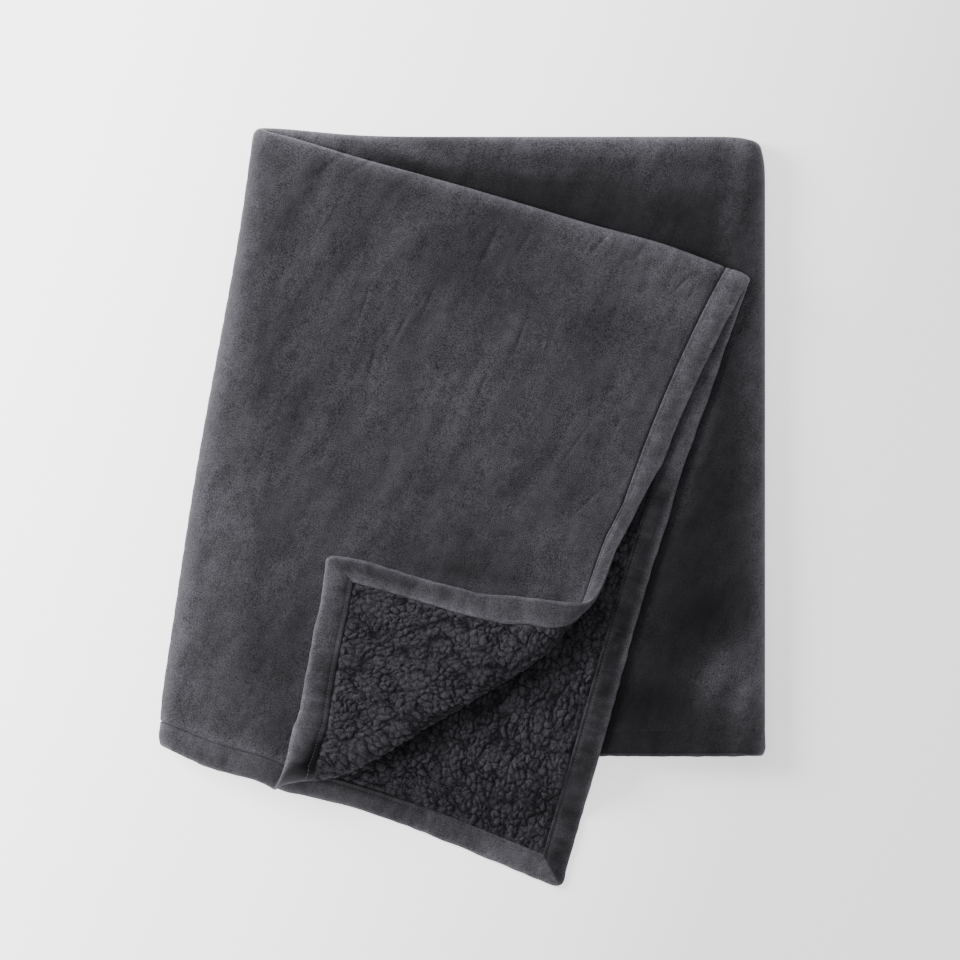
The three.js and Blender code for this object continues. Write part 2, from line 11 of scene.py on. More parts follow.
import bpy
import numpy as np
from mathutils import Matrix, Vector


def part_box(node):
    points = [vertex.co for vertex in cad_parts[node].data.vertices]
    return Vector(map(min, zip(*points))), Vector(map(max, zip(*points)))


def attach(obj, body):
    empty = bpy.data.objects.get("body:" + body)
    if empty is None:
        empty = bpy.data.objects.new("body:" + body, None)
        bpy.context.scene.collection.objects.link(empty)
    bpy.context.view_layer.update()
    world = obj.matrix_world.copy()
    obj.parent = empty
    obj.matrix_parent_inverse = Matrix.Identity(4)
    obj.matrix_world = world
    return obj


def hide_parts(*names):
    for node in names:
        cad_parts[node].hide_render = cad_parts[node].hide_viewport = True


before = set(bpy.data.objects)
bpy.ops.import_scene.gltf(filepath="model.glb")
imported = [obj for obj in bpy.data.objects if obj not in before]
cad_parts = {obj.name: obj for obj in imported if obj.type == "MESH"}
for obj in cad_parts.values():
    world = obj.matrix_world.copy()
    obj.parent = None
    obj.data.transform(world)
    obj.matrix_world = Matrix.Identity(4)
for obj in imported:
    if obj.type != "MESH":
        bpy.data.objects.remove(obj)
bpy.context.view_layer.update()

# %% [markdown]
# ## Sizes
# A throw of this kind is 60 by 50 inches. Sizes are written in millimetres, as a sewing room would
# give them, and become metres at the very end of the fold. The flat throw has its own coordinates:
# s runs along its length, t across its width and h through its thickness, with the velvet side up
# and the two cloths meeting at h = 0. The pack has its own plan, x to the right and y away.

# %% Sizes of the throw and of its folds
MM = 0.001
THROW_LENGTH = 1524
THROW_WIDTH = 1270
BINDING_WIDTH = 26
MITRE_GAP = 0.25
SEWN_GAP = 0.02
VELVET_TOP = 1.65
PILE_BOTTOM = -6.15

PACK_RIGHT = 310
PACK_TOP = 379.4
HALF_RADIUS = 6.5
HALF_ARC = math.pi * HALF_RADIUS
HALF_WIDTH = (THROW_WIDTH - HALF_ARC) / 2
DOUBLED_REACH = HALF_RADIUS + VELVET_TOP
HALF_FOLD_Y = PACK_TOP - DOUBLED_REACH
PACK_BOTTOM = HALF_FOLD_Y - HALF_WIDTH

THIRD_RADIUS = DOUBLED_REACH + 0.9
THIRD_ARC = math.pi * THIRD_RADIUS
FOLD_REACH = THIRD_RADIUS + DOUBLED_REACH
MIDDLE_HEIGHT = DOUBLED_REACH + 2 * THIRD_RADIUS
FLAP_HEIGHT = MIDDLE_HEIGHT + 2 * THIRD_RADIUS
RIGHT_FOLD_X = PACK_RIGHT - FOLD_REACH
UNDER_LENGTH = 506

# The frame's origin is below the middle of the pack's box, a little off the origin of these sizes
SHIFT_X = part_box("velvet_panel")[1][0] - PACK_RIGHT * MM
SHIFT_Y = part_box("binding_under_end")[0][1] - (PACK_BOTTOM + MITRE_GAP) * MM
print("shift", round(SHIFT_X, 5), round(SHIFT_Y, 5))

# %% [markdown]
# ## Camera, floor and light
# The picture was taken from straight above and far away, so that the pack's outline shows almost no
# perspective. One pixel of it is 1.02 mm on the cloth. The camera could be framed by eye, but a
# camera and a lens worked out from that scale put every pixel where it belongs. The light is broad
# and soft: a lamp low on the left, a wide one above, and a pale sky.

# %% Camera
PIXEL = 1.02 * MM
IMAGE_SIZE = 960
ORIGIN_PIXEL = (462, 508)
CAMERA_HEIGHT = 9.0
MIDDLE_OF_PACK = 40 * MM
SENSOR_WIDTH = 36
FARTHEST = 50

camera_x = (IMAGE_SIZE / 2 - ORIGIN_PIXEL[0]) * PIXEL + SHIFT_X
camera_y = (ORIGIN_PIXEL[1] - IMAGE_SIZE / 2) * PIXEL + SHIFT_Y
bpy.ops.object.select_all(action="DESELECT")
bpy.ops.object.camera_add(location=(camera_x, camera_y, CAMERA_HEIGHT), rotation=(0, 0, 0))
camera = bpy.context.object
camera.data.sensor_width = SENSOR_WIDTH
camera.data.lens = SENSOR_WIDTH * (CAMERA_HEIGHT - MIDDLE_OF_PACK) / (IMAGE_SIZE * PIXEL)
camera.data.clip_end = FARTHEST
bpy.context.scene.camera = camera
print("camera above", round(camera_x, 4), round(camera_y, 4))

# %% Floor and lights
FLOOR_SIZE = 12
KEY_LIGHT = {"place": (-2.1, 1.0, 1.5), "size": 1.3, "power": 135}
TOP_LIGHT = {"place": (-0.2, 0.3, 4.5), "size": 4.0, "power": 45}
SKY_STRENGTH = 0.42

bpy.ops.mesh.primitive_plane_add(size=FLOOR_SIZE, location=(0, 0, 0))
floor = bpy.context.object
floor.name = "floor"


def add_soft_light(name, place, size, power):
    """A square lamp that faces the pack."""
    bpy.ops.object.light_add(type="AREA", location=place)
    lamp = bpy.context.object
    lamp.name = name
    lamp.data.energy = power
    lamp.data.size = size
    lamp.rotation_euler = Vector([-value for value in place]).to_track_quat("-Z", "Y").to_euler()
    return lamp


add_soft_light("key light", **KEY_LIGHT)
add_soft_light("top light", **TOP_LIGHT)
world = bpy.data.worlds.new("studio")
bpy.context.scene.world = world
world.use_nodes = True
sky = world.node_tree.nodes["Background"]
sky.inputs["Color"].default_value = (1, 1, 1, 1)
sky.inputs["Strength"].default_value = SKY_STRENGTH
print("lamps", KEY_LIGHT["power"], "and", TOP_LIGHT["power"], "watts, sky", SKY_STRENGTH)

# %% [markdown]
# ## Small helpers
# Cloth is never quite even. `uneven` gives soft random waves along a line and `uneven_over` over an
# area. Both start from a seed, so that every run gives the same throw. What is placed one by one, such
# as a crease, is a row of a table, with a middle, a direction, a length and a width in the pack's
# plan, and `spot` is its soft, long mark.

# %% Smooth steps, soft waves and spots
LINE_KNOTS = 2048
AREA_KNOTS = 1024
KNOTS_BEFORE = 64


def table(columns, *rows):
    """Rows whose values have the names of their columns."""
    return [dict(zip(columns.split(), row)) for row in rows]


def mix(first, second, share):
    """The value at a share of the way from first to second."""
    return first + (second - first) * share


def smooth(value):
    """A soft step from 0 to 1."""
    value = np.clip(value, 0, 1)
    return value * value * (3 - 2 * value)


def uneven(place, spacing, seed):
    """Soft random waves along a line, between -1 and 1."""
    knots = np.random.default_rng(seed).uniform(-1, 1, LINE_KNOTS)
    scaled = np.asarray(place) / spacing + KNOTS_BEFORE
    index = np.floor(scaled).astype(int)
    return mix(knots[index], knots[index + 1], smooth(scaled - index))


def uneven_over(x, y, spacing, seed):
    """Soft random waves over an area, between -1 and 1."""
    knots = np.random.default_rng(seed).uniform(-1, 1, (AREA_KNOTS, AREA_KNOTS))
    column = np.asarray(x) / spacing + 4 * KNOTS_BEFORE
    row = np.asarray(y) / spacing + 4 * KNOTS_BEFORE
    i = np.floor(column).astype(int)
    j = np.floor(row).astype(int)
    across = smooth(column - i)
    upward = smooth(row - j)
    low = mix(knots[i, j], knots[i + 1, j], across)
    high = mix(knots[i, j + 1], knots[i + 1, j + 1], across)
    return mix(low, high, upward)


def turned_axes(x, y, middle_x, middle_y, degrees):
    """Distances along and across a direction, from a middle point."""
    angle = math.radians(degrees)
    along = (x - middle_x) * math.cos(angle) + (y - middle_y) * math.sin(angle)
    across = (y - middle_y) * math.cos(angle) - (x - middle_x) * math.sin(angle)
    return along, across


def spot(x, y, row):
    """1 at the middle of a table's row, falling softly to 0 over its length and its width."""
    along, across = turned_axes(x, y, row["x"], row["y"], row["degrees"])
    return np.exp(-((along / row["length"]) ** 2) - (across / row["width"]) ** 2)


print("a soft step is halfway at", smooth(0.5))

# %% [markdown]
# ## The first fold
# The throw is folded in half across its width with the pile inside, so that velvet shows on both
# sides of the doubled strip. The bend is half of a round tube, and w is the height over the strip's
# middle.


# %% Folding in half
def fold_in_half(t, h):
    """The strip's y and w for a place across the throw, and 1 in the flap's upper layer, 0 below."""
    angle = np.clip((t - HALF_WIDTH) / HALF_RADIUS, 0, math.pi)
    reach = HALF_RADIUS + h
    from_bend = np.minimum(t, THROW_WIDTH - t) - HALF_WIDTH
    y = HALF_FOLD_Y + reach * np.sin(angle) + np.minimum(from_bend, 0)
    return y, reach * np.cos(angle), (1 + np.cos(angle)) / 2


print("the bend of the half fold is", round(HALF_ARC, 1), "mm long")

# %% [markdown]
# ## The flap
# The strip's last third is folded over to the right along a slanted line, so it lies swung round
# clockwise. Its free end is pulled out of square, and its upper layer has been drawn in to the left.

# %% Laying the flap
LEFT_FOLD_TOP = np.array([-210 + FOLD_REACH, PACK_TOP])
LEFT_FOLD_BOTTOM = np.array([-317 + FOLD_REACH, PACK_BOTTOM])
left_fold = LEFT_FOLD_BOTTOM - LEFT_FOLD_TOP
left_fold_down = left_fold / np.linalg.norm(left_fold)
left_fold_out = np.array([left_fold_down[1], -left_fold_down[0]])

FLAP_LENGTH = 500
UPPER_PULL = {"x": 13, "y": 27, "ease": 0.35}
LOWER_PULL = {"x": 36, "y": -10}
LOWER_BOW = {"rise": 19, "skew": 1.3}
FREE_EDGE_BOW = 14
SLACK = {"left": 42.5, "reach": 0.28, "down": 14, "from": 0.16, "over": 0.24}


def past_left_fold(x, y):
    """How far a place of the straight strip lies past the start of the left fold."""
    return (x - LEFT_FOLD_TOP[0]) * left_fold_out[0] + (y - LEFT_FOLD_TOP[1]) * left_fold_out[1]


def lay_flap(x, y, upper_share):
    """The flap's own plan: swung over, pulled out of square, and its upper layer drawn in."""
    past = past_left_fold(x, y) - THIRD_ARC
    plan_x = x + left_fold_out[0] * (-2 * past - THIRD_ARC)
    plan_y = y + left_fold_out[1] * (-2 * past - THIRD_ARC)
    along = past / FLAP_LENGTH
    down = (PACK_TOP - y) / (PACK_TOP - PACK_BOTTOM)
    low = np.maximum(down, 0)
    eased = (1 - np.exp(-along / UPPER_PULL["ease"])) / (1 - math.exp(-1 / UPPER_PULL["ease"]))
    plan_x = plan_x + mix(UPPER_PULL["x"], LOWER_PULL["x"], down) * along
    plan_y = plan_y + mix(UPPER_PULL["y"] * eased, LOWER_PULL["y"] * along, down)
    bow = LOWER_BOW["rise"] * np.sin(math.pi * along) * (LOWER_BOW["skew"] - along)
    plan_y = plan_y + bow * down**3
    plan_x = plan_x - FREE_EDGE_BOW * np.sin(math.pi * down) * along**2
    plan_x = plan_x - upper_share * SLACK["left"] * along**2 * (1 - np.exp(-low / SLACK["reach"]))
    far_along = smooth((along - SLACK["from"]) / SLACK["over"])
    plan_y = plan_y - upper_share * SLACK["down"] * far_along * low**6
    return plan_x, plan_y


print("the flap is about", FLAP_LENGTH, "mm long")

# %% [markdown]
# ## The turned-back corner
# One corner of the flap's upper layer is rolled back over it. Cloth that is turned back like this
# lies on a cone: all of its straight lines meet in one tip, and the roll gets higher away from it.
# A bend modifier would give an even roll, but real cloth rolls unevenly, so a table has a row for
# each distance from the tip, with angles in degrees: where the roll starts, the axis that the corner
# is mirrored over, and the roll's outline, and then how high the roll stands.

# %% Turning the corner over a cone
CONE_TIP = (-249, -352)
CONE = table(
    "distance start axis outline height",
    (105, 46.2, 37, 41.2, 15),
    (133, 42.2, 35.2, 34.4, 14),
    (170, 37.8, 32.9, 32, 12),
    (280, 35.6, 30.7, 31.5, 14),
    (345, 36, 29.9, 31.5, 18),
    (375, 36.3, 30.2, 31.6, 20.5),
    (395, 36.5, 30.9, 31.9, 22),
    (420, 37.2, 31.4, 33, 26),
    (445, 37.9, 31.7, 33.7, 29.7),
    (480, 39.2, 29.5, 34.5, 33.6),
    (510, 40.3, 29.2, 35.7, 36),
    (575, 41.2, 29.2, 36.5, 36),
)
ROLL_SETTLING = 110
LAYER_CENTRE = (VELVET_TOP + PILE_BOTTOM) / 2
TURNED_GAP = 1.6
TURNED_HEIGHT = VELVET_TOP - PILE_BOTTOM + TURNED_GAP


def along_cone(distance, column):
    """A column of the cone's table, at a distance from its tip."""
    return np.interp(distance, [row["distance"] for row in CONE], [row[column] for row in CONE])


def cone_angle(distance, column):
    """An angle of the cone's table, in radians."""
    return np.radians(along_cone(distance, column))


def turn_corner(x, y, z, centre):
    """The flap's upper layer, with its corner rolled back over it."""
    arm_x = x - CONE_TIP[0]
    arm_y = y - CONE_TIP[1]
    distance = np.hypot(arm_x, arm_y)
    start = cone_angle(distance, "start")
    wrap = 2 * (start - cone_angle(distance, "axis"))
    beyond = start - np.arctan2(arm_y, arm_x)
    turn = math.pi * np.clip(beyond / wrap, 0, 1)
    rest = np.maximum(beyond - wrap, 0)
    swing = start - (start - cone_angle(distance, "outline")) * np.sin(turn) + rest
    above = z - centre
    turned_x = CONE_TIP[0] + np.cos(swing) * distance - np.sin(start) * above * np.sin(turn)
    turned_y = CONE_TIP[1] + np.sin(swing) * distance + np.cos(start) * above * np.sin(turn)
    settling = smooth(distance * rest / ROLL_SETTLING)
    lift = mix(along_cone(distance, "height"), TURNED_HEIGHT, settling)
    turned_z = centre + lift * (1 - np.cos(turn)) / 2 + above * np.cos(turn)
    is_turned = beyond > 0
    return (
        np.where(is_turned, turned_x, x),
        np.where(is_turned, turned_y, y),
        np.where(is_turned, turned_z, z),
    )


print("the roll stands", CONE[0]["height"], "to", CONE[-1]["height"], "mm high")

# %% [markdown]
# ## Settling
# A real pack is not made of flat layers. On the left it sinks to the floor beyond the hidden third,
# past its lower edge the flap hangs down, and the outline is pushed about a little. Proportional
# editing could push each piece by hand, but a table of pushes moves all the cloths alike.

# %% Sag, drop and pushes
DROP_HEIGHT = 4 * THIRD_RADIUS
DROP_START = 3
DROP_LENGTH = 62
SAG_DEPTH = 2 * THIRD_RADIUS - 0.3
SAG_START = -199
SAG_LENGTH = 100
NUDGES = table(
    "x y reach dx dy",
    (-205, 386, 75, -2, 9),
    (-316, -252, 42, 6, 12),
    (-270, 40, 170, -4, 0),
    (205, 262, 60, 0, 4),
    (312, 382, 22, -5, -5),
    (-134, -43, 26, -4, -3),
    (-160, -293, 28, -20, 2),
)


def hang_over_edge(y, z):
    """Past the pack's lower edge the flap hangs down to the floor."""
    return z - DROP_HEIGHT * smooth((PACK_BOTTOM - DROP_START - y) / DROP_LENGTH)


def pushed(x, y):
    """Places of the plan, pushed about a little."""
    new_x = x.copy()
    new_y = y.copy()
    for push in NUDGES:
        share = np.exp(-((x - push["x"]) ** 2 + (y - push["y"]) ** 2) / push["reach"] ** 2)
        new_x += push["dx"] * share
        new_y += push["dy"] * share
    return new_x, new_y


print(len(NUDGES), "pushes")

# %% [markdown]
# Creases and soft swellings could come from noise, but the eye knows them by their places, so they
# are placed one by one, each with its rise, and noise only adds a faint unevenness.

# %% Creases and swellings
CREASES = table(
    "layer x y degrees length width rise",
    # on the part of the middle third that shows
    ("middle", -62, 368, -10, 80, 11, 3),
    ("middle", 60, 352, -14, 90, 13, -1.6),
    ("middle", 200, 340, 80, 45, 12, 1.2),
    ("middle", 268, 300, 84, 70, 9, -1.3),
    ("middle", 281, 60, 88, 120, 10, -1.1),
    ("middle", 258, -160, 78, 60, 12, 1.1),
    # soft swellings of the flap
    ("flap", -150, 250, 58, 80, 24, 1.5),
    ("flap", 50, 40, 62, 80, 28, 2),
    ("flap", 120, 190, 50, 70, 26, 1.5),
    # its creases
    ("flap", -146, 325, 62, 34, 7, -1.2),
    ("flap", -58, 296, 56, 42, 8, -1.4),
    ("flap", 20, 262, 50, 46, 13, -1.8),
    ("flap", -160, 84, 72, 46, 10, -1.5),
    ("flap", -108, 205, 64, 40, 7, -1),
    ("flap", 96, 162, 30, 44, 12, -1.6),
    ("flap", 145, 68, 52, 34, 6, -1.2),
    ("flap", 118, 2, 40, 32, 6, -1.1),
    ("flap", -14, -38, 8, 50, 11, -1.5),
    ("flap", 238, 232, 45, 22, 5, -0.9),
    ("flap", -232, -150, 74, 60, 16, 1.4),
)
SURFACE_WAVES = {"along": 62, "across": 24, "degrees": 58, "rise": 0.8, "seed": 11}


def settle(x, y, z):
    """The last unevenness: the sag on the left, creases, soft waves and pushes in plan."""
    new_z = z - SAG_DEPTH * smooth((SAG_START - x) / SAG_LENGTH)
    over_middle = np.clip((z - MIDDLE_HEIGHT) / DOUBLED_REACH, 0, 1)
    over_flap = np.clip((z - FLAP_HEIGHT) / DOUBLED_REACH, 0, 1)
    for crease in CREASES:
        layer = over_flap if crease["layer"] == "flap" else over_middle
        new_z += crease["rise"] * spot(x, y, crease) * layer
    along, across = turned_axes(x, y, 0, 0, SURFACE_WAVES["degrees"])
    along = along / SURFACE_WAVES["along"]
    across = across / SURFACE_WAVES["across"]
    waves = uneven_over(along, across, 1, SURFACE_WAVES["seed"])
    new_z += SURFACE_WAVES["rise"] * waves * over_middle
    return (*pushed(x, y), new_z)


print(len(CREASES), "creases and swellings")

# %% [markdown]
# ## The whole fold
# `fold_points` takes places of the flat throw to places in the frame. Every piece goes through it, so
# cloths that touch when flat still touch when folded, and no piece can drift from its solid.


# %% From the flat throw to the pack
LOWEST = 0.25
CORNER_RADIUS = 9


def rounded_corners(s, t):
    """The throw's own corners, sewn a little round."""
    to_s = np.minimum(s, THROW_LENGTH - s)
    to_t = np.minimum(t, THROW_WIDTH - t)
    past_s = np.maximum(CORNER_RADIUS - to_s, 0)
    past_t = np.maximum(CORNER_RADIUS - to_t, 0)
    squeeze = np.maximum(past_s, past_t) / np.maximum(np.hypot(past_s, past_t), 1e-9)
    in_corner = (past_s > 0) & (past_t > 0)
    shift_s = np.where(in_corner, past_s * (1 - squeeze), 0)
    shift_t = np.where(in_corner, past_t * (1 - squeeze), 0)
    return (
        s + np.where(s < THROW_LENGTH / 2, shift_s, -shift_s),
        t + np.where(t < THROW_WIDTH / 2, shift_t, -shift_t),
    )


def fold_points(s, t, h):
    """Places in the frame, in metres, of points of the flat throw."""
    s, t, h = (np.asarray(value, dtype=float) for value in np.broadcast_arrays(s, t, h))
    s, t = rounded_corners(s, t)
    y, w, upper_share = fold_in_half(t, h)
    x = RIGHT_FOLD_X + UNDER_LENGTH - s

    past_right = x - RIGHT_FOLD_X
    right_angle = np.clip(past_right / THIRD_RADIUS, 0, math.pi)
    right_bend = (THIRD_RADIUS - w) * np.sin(right_angle)
    right_x = RIGHT_FOLD_X + right_bend - np.maximum(past_right - THIRD_ARC, 0)
    right_z = MIDDLE_HEIGHT - THIRD_RADIUS + (THIRD_RADIUS - w) * np.cos(right_angle)

    past_left = past_left_fold(x, y)
    left_angle = np.clip(past_left / THIRD_RADIUS, 0, math.pi)
    bend = (THIRD_RADIUS + w) * np.sin(left_angle) - np.maximum(past_left, 0)
    left_x = x + left_fold_out[0] * bend
    left_y = y + left_fold_out[1] * bend
    left_z = MIDDLE_HEIGHT + THIRD_RADIUS - (THIRD_RADIUS + w) * np.cos(left_angle)

    flap_x, flap_y = lay_flap(x, y, upper_share)
    centre = FLAP_HEIGHT + HALF_RADIUS + LAYER_CENTRE
    turned = turn_corner(flap_x, flap_y, FLAP_HEIGHT + w, centre)
    is_upper = t < HALF_WIDTH
    flap_x = np.where(is_upper, turned[0], flap_x)
    flap_y = np.where(is_upper, turned[1], flap_y)
    flap_z = hang_over_edge(flap_y, np.where(is_upper, turned[2], FLAP_HEIGHT + w))

    places = [(past_right > 0), (past_left <= 0), (past_left < THIRD_ARC)]
    folded_x = np.select(places, [right_x, x, left_x], flap_x)
    folded_y = np.select(places, [y, y, left_y], flap_y)
    folded_z = np.select(places, [right_z, MIDDLE_HEIGHT - w, left_z], flap_z)
    settled = settle(folded_x, folded_y, folded_z)
    return np.stack(
        [settled[0] * MM + SHIFT_X, settled[1] * MM + SHIFT_Y, np.maximum(settled[2], LOWEST) * MM],
        axis=-1,
    )


def pack_plan(places):
    """Where places of the frame lie in the pack's own plan, in millimetres."""
    return (places[..., 0] - SHIFT_X) / MM, (places[..., 1] - SHIFT_Y) / MM


def on_the_flap(s, t):
    """0 up to the left fold and 1 beyond it, for a place of the flat throw."""
    past = past_left_fold(RIGHT_FOLD_X + UNDER_LENGTH - s, fold_in_half(t, 0 * t)[0])
    return smooth(past / THIRD_ARC)


corner = fold_points(THROW_LENGTH, 0, 0)
print("turned corner at", np.round(corner, 4))

# %% [markdown]
# ## Finishes
# A material could be wired by hand in the shader editor. Here its nodes are made by one method of a
# small class, and the operators of Python stand for Math nodes, so that a finish can be read as a
# sum of its patches, streaks and grain. Every pattern lies on Object coordinates or on a number
# stored on the mesh, so it stays on the cloth.


# %% Nodes as expressions
class Signal:
    """A socket whose operators add Math nodes."""

    def __init__(self, finish, socket):
        self.finish = finish
        self.socket = socket

    def math(self, operation, first, second):
        return self.finish.add("ShaderNodeMath", {"operation": operation}, {0: first, 1: second})

    def __add__(self, other):
        return self.math("ADD", self, other)

    __radd__ = __add__

    def __sub__(self, other):
        return self.math("SUBTRACT", self, other)

    def __rsub__(self, other):
        return self.math("SUBTRACT", other, self)

    def __mul__(self, other):
        return self.math("MULTIPLY", self, other)

    __rmul__ = __mul__


print("signals can be added, subtracted and multiplied")

# %% [markdown]
# A finish is one material, and each of its methods adds one kind of node. The last one makes the
# surface and hands the material over.

# %% A finish
GRAZING_BLEND = 0.82


class Finish:
    """A material whose nodes are all made by add()."""

    def __init__(self, name):
        self.material = bpy.data.materials.new(name)
        self.material.use_nodes = True
        self.tree = self.material.node_tree
        self.tree.nodes.clear()

    def add(self, kind, settings=None, inputs=None, output=0):
        """One node: its type, its settings, then the values or links of its sockets."""
        node = self.tree.nodes.new(kind)
        for name, value in (settings or {}).items():
            setattr(node, name, value)
        for key, value in (inputs or {}).items():
            if isinstance(value, Signal):
                self.tree.links.new(value.socket, node.inputs[key])
            else:
                node.inputs[key].default_value = value
        return Signal(self, node.outputs[output]) if len(node.outputs) else node

    def places(self):
        """Object coordinates, in metres."""
        return self.add("ShaderNodeTexCoord", output="Object")

    def stretched(self, degrees, length, width):
        """Coordinates for a pattern drawn out along a direction of the plan."""
        return self.add(
            "ShaderNodeMapping",
            {"vector_type": "TEXTURE"},
            {
                "Vector": self.places(),
                "Rotation": (0, 0, math.radians(degrees)),
                "Scale": (length, width, width),
            },
        )

    def noise(self, scale, detail, roughness, places=None):
        """Cloudy noise, taken about zero."""
        cloud = self.add(
            "ShaderNodeTexNoise",
            {"noise_dimensions": "3D"},
            {"Vector": places or self.places(), "Scale": scale, "Detail": detail, "Roughness": roughness},
        )
        return cloud - 0.5

    def value_of(self, attribute):
        """A number stored on the mesh."""
        return self.add("ShaderNodeAttribute", {"attribute_name": attribute}, output="Fac")

    def measured(self, places, direction, middle, size):
        """How far places lie from a middle along a direction of the plan, in units of a size."""
        ahead = self.add(
            "ShaderNodeVectorMath",
            {"operation": "DOT_PRODUCT"},
            {0: places, 1: (direction[0] / size, direction[1] / size, 0)},
            output="Value",
        )
        return ahead - (middle[0] * direction[0] + middle[1] * direction[1]) / size

    def bell(self, square):
        """1 where a squared distance is 0, and falling softly from there."""
        return self.add("ShaderNodeMath", {"operation": "POWER"}, {0: math.exp(-1), 1: square})

    def bump(self, height, strength, distance, below=None):
        """A normal that tells of small heights, on top of another one."""
        sockets = {"Strength": strength, "Distance": distance, "Height": height}
        if below is not None:
            sockets["Normal"] = below
        return self.add("ShaderNodeBump", {}, sockets)

    def grazing(self):
        """0 where the surface faces the eye, towards 1 where it turns away."""
        return self.add("ShaderNodeLayerWeight", {}, {"Blend": GRAZING_BLEND}, output="Facing")

    def colour_between(self, dark, light, share):
        """A colour mixed from two."""
        return self.add(
            "ShaderNodeMix", {"data_type": "RGBA"}, {0: share, 6: (*dark, 1), 7: (*light, 1)}, output=2
        )

    def shade(self, **sockets):
        """The finished surface, its sockets named with underscores for spaces."""
        named = {name.replace("_", " "): value for name, value in sockets.items()}
        surface = self.add("ShaderNodeBsdfPrincipled", {}, named)
        self.add("ShaderNodeOutputMaterial", {}, {"Surface": surface})
        print(self.material.name, "has", len(self.tree.nodes), "nodes")
        return self.material


print("a finish has", sum(callable(value) for value in vars(Finish).values()), "methods")

# %% [markdown]
# ## Velvet
# Velvet is short pile that lies one way or another, and it looks lighter or darker by where it
# leans. Sheen alone would be even all over, so the finish takes its lightness from a number on the
# mesh, which holds the nap together with painted light, painted shade and painted sheen, and adds
# cloudy patches, streaks that run diagonally over the pack, short strokes, a mottle of about a
# centimetre and fine grain. Where the surface turns away from the eye its colour is painted paler,
# a painted sheen of fibres seen from the side.
#
# Creases that are too fine for the mesh come first. They are bumps, placed one by one in the pack's
# plan.

# %% Fine creases
FINE_CREASES = table(
    "x y degrees length width rise",
    (-136, 299, 60, 22, 2.2, 0.6),
    (-99, 208, 72, 18, 2.2, -0.9),
    (-62, 183, 62, 16, 2.5, -1.1),
    (-33, 212, 64, 20, 2.5, -0.7),
    (63, 269, 60, 14, 3, -0.9),
    (140, 268, 48, 13, 2.5, -1.1),
    (60, 176, 70, 13, 2, -0.9),
    (85, 167, 76, 13, 2.4, 0.8),
    (224, 228, 45, 12, 2, -1.1),
    (234, 219, 62, 8, 1.8, -0.7),
    (115, 64, 55, 18, 2.2, -0.9),
    (130, 8, 42, 16, 2, -0.8),
    (-131, 352, 38, 26, 4, -1.4),
    (-98, 350, 30, 16, 3, -1.1),
    (27, 264, 64, 20, 3.5, -1.3),
    (183, 262, 52, 16, 3, -0.9),
    (-92, 146, 74, 16, 3, -1.1),
    (20, 120, 66, 18, 3, -0.8),
)


def fine_creases(finish):
    """The height of the fine creases, in metres, from their table."""
    places = finish.places()
    parts = []
    for crease in FINE_CREASES:
        angle = math.radians(crease["degrees"])
        middle = (crease["x"] * MM + SHIFT_X, crease["y"] * MM + SHIFT_Y)
        length = crease["length"] * MM
        width = crease["width"] * MM
        along = finish.measured(places, (math.cos(angle), math.sin(angle)), middle, length)
        across = finish.measured(places, (-math.sin(angle), math.cos(angle)), middle, width)
        parts.append(finish.bell(along * along + across * across) * (crease["rise"] * MM))
    return sum(parts[1:], parts[0])


print(len(FINE_CREASES), "fine creases")

# %% Velvet finish
VELVET_DARK = (0.0022, 0.0022, 0.0028)
VELVET_LIGHT = (0.08, 0.078, 0.089)
VELVET_RANGE = 2
SHEEN_TINT = (0.82, 0.82, 1.0, 1)
# painted sheen: how much paler the colour is where the surface turns away from the eye
GRAZING_PAINTED_SHEEN = 0.32
STREAK_STRENGTH = {"on_bright_nap": 1.7, "everywhere": 0.2}
SPECKLE_SHARES = {"strokes": 1.1, "mottle": 0.9, "grain": 3.1}
HEIGHT_SHARES = {"strokes": 0.8, "mottle": 0.5, "grain": 0.35}


def velvet_palest():
    """The colour at a lightness of VELVET_RANGE, in line with those at 0 and at 1."""
    return tuple(mix(dark, light, VELVET_RANGE) for dark, light in zip(VELVET_DARK, VELVET_LIGHT))


def summed(noises, shares):
    """A sum of noises, each by its share."""
    parts = [noises[name] * share for name, share in shares.items()]
    return sum(parts[1:], parts[0])


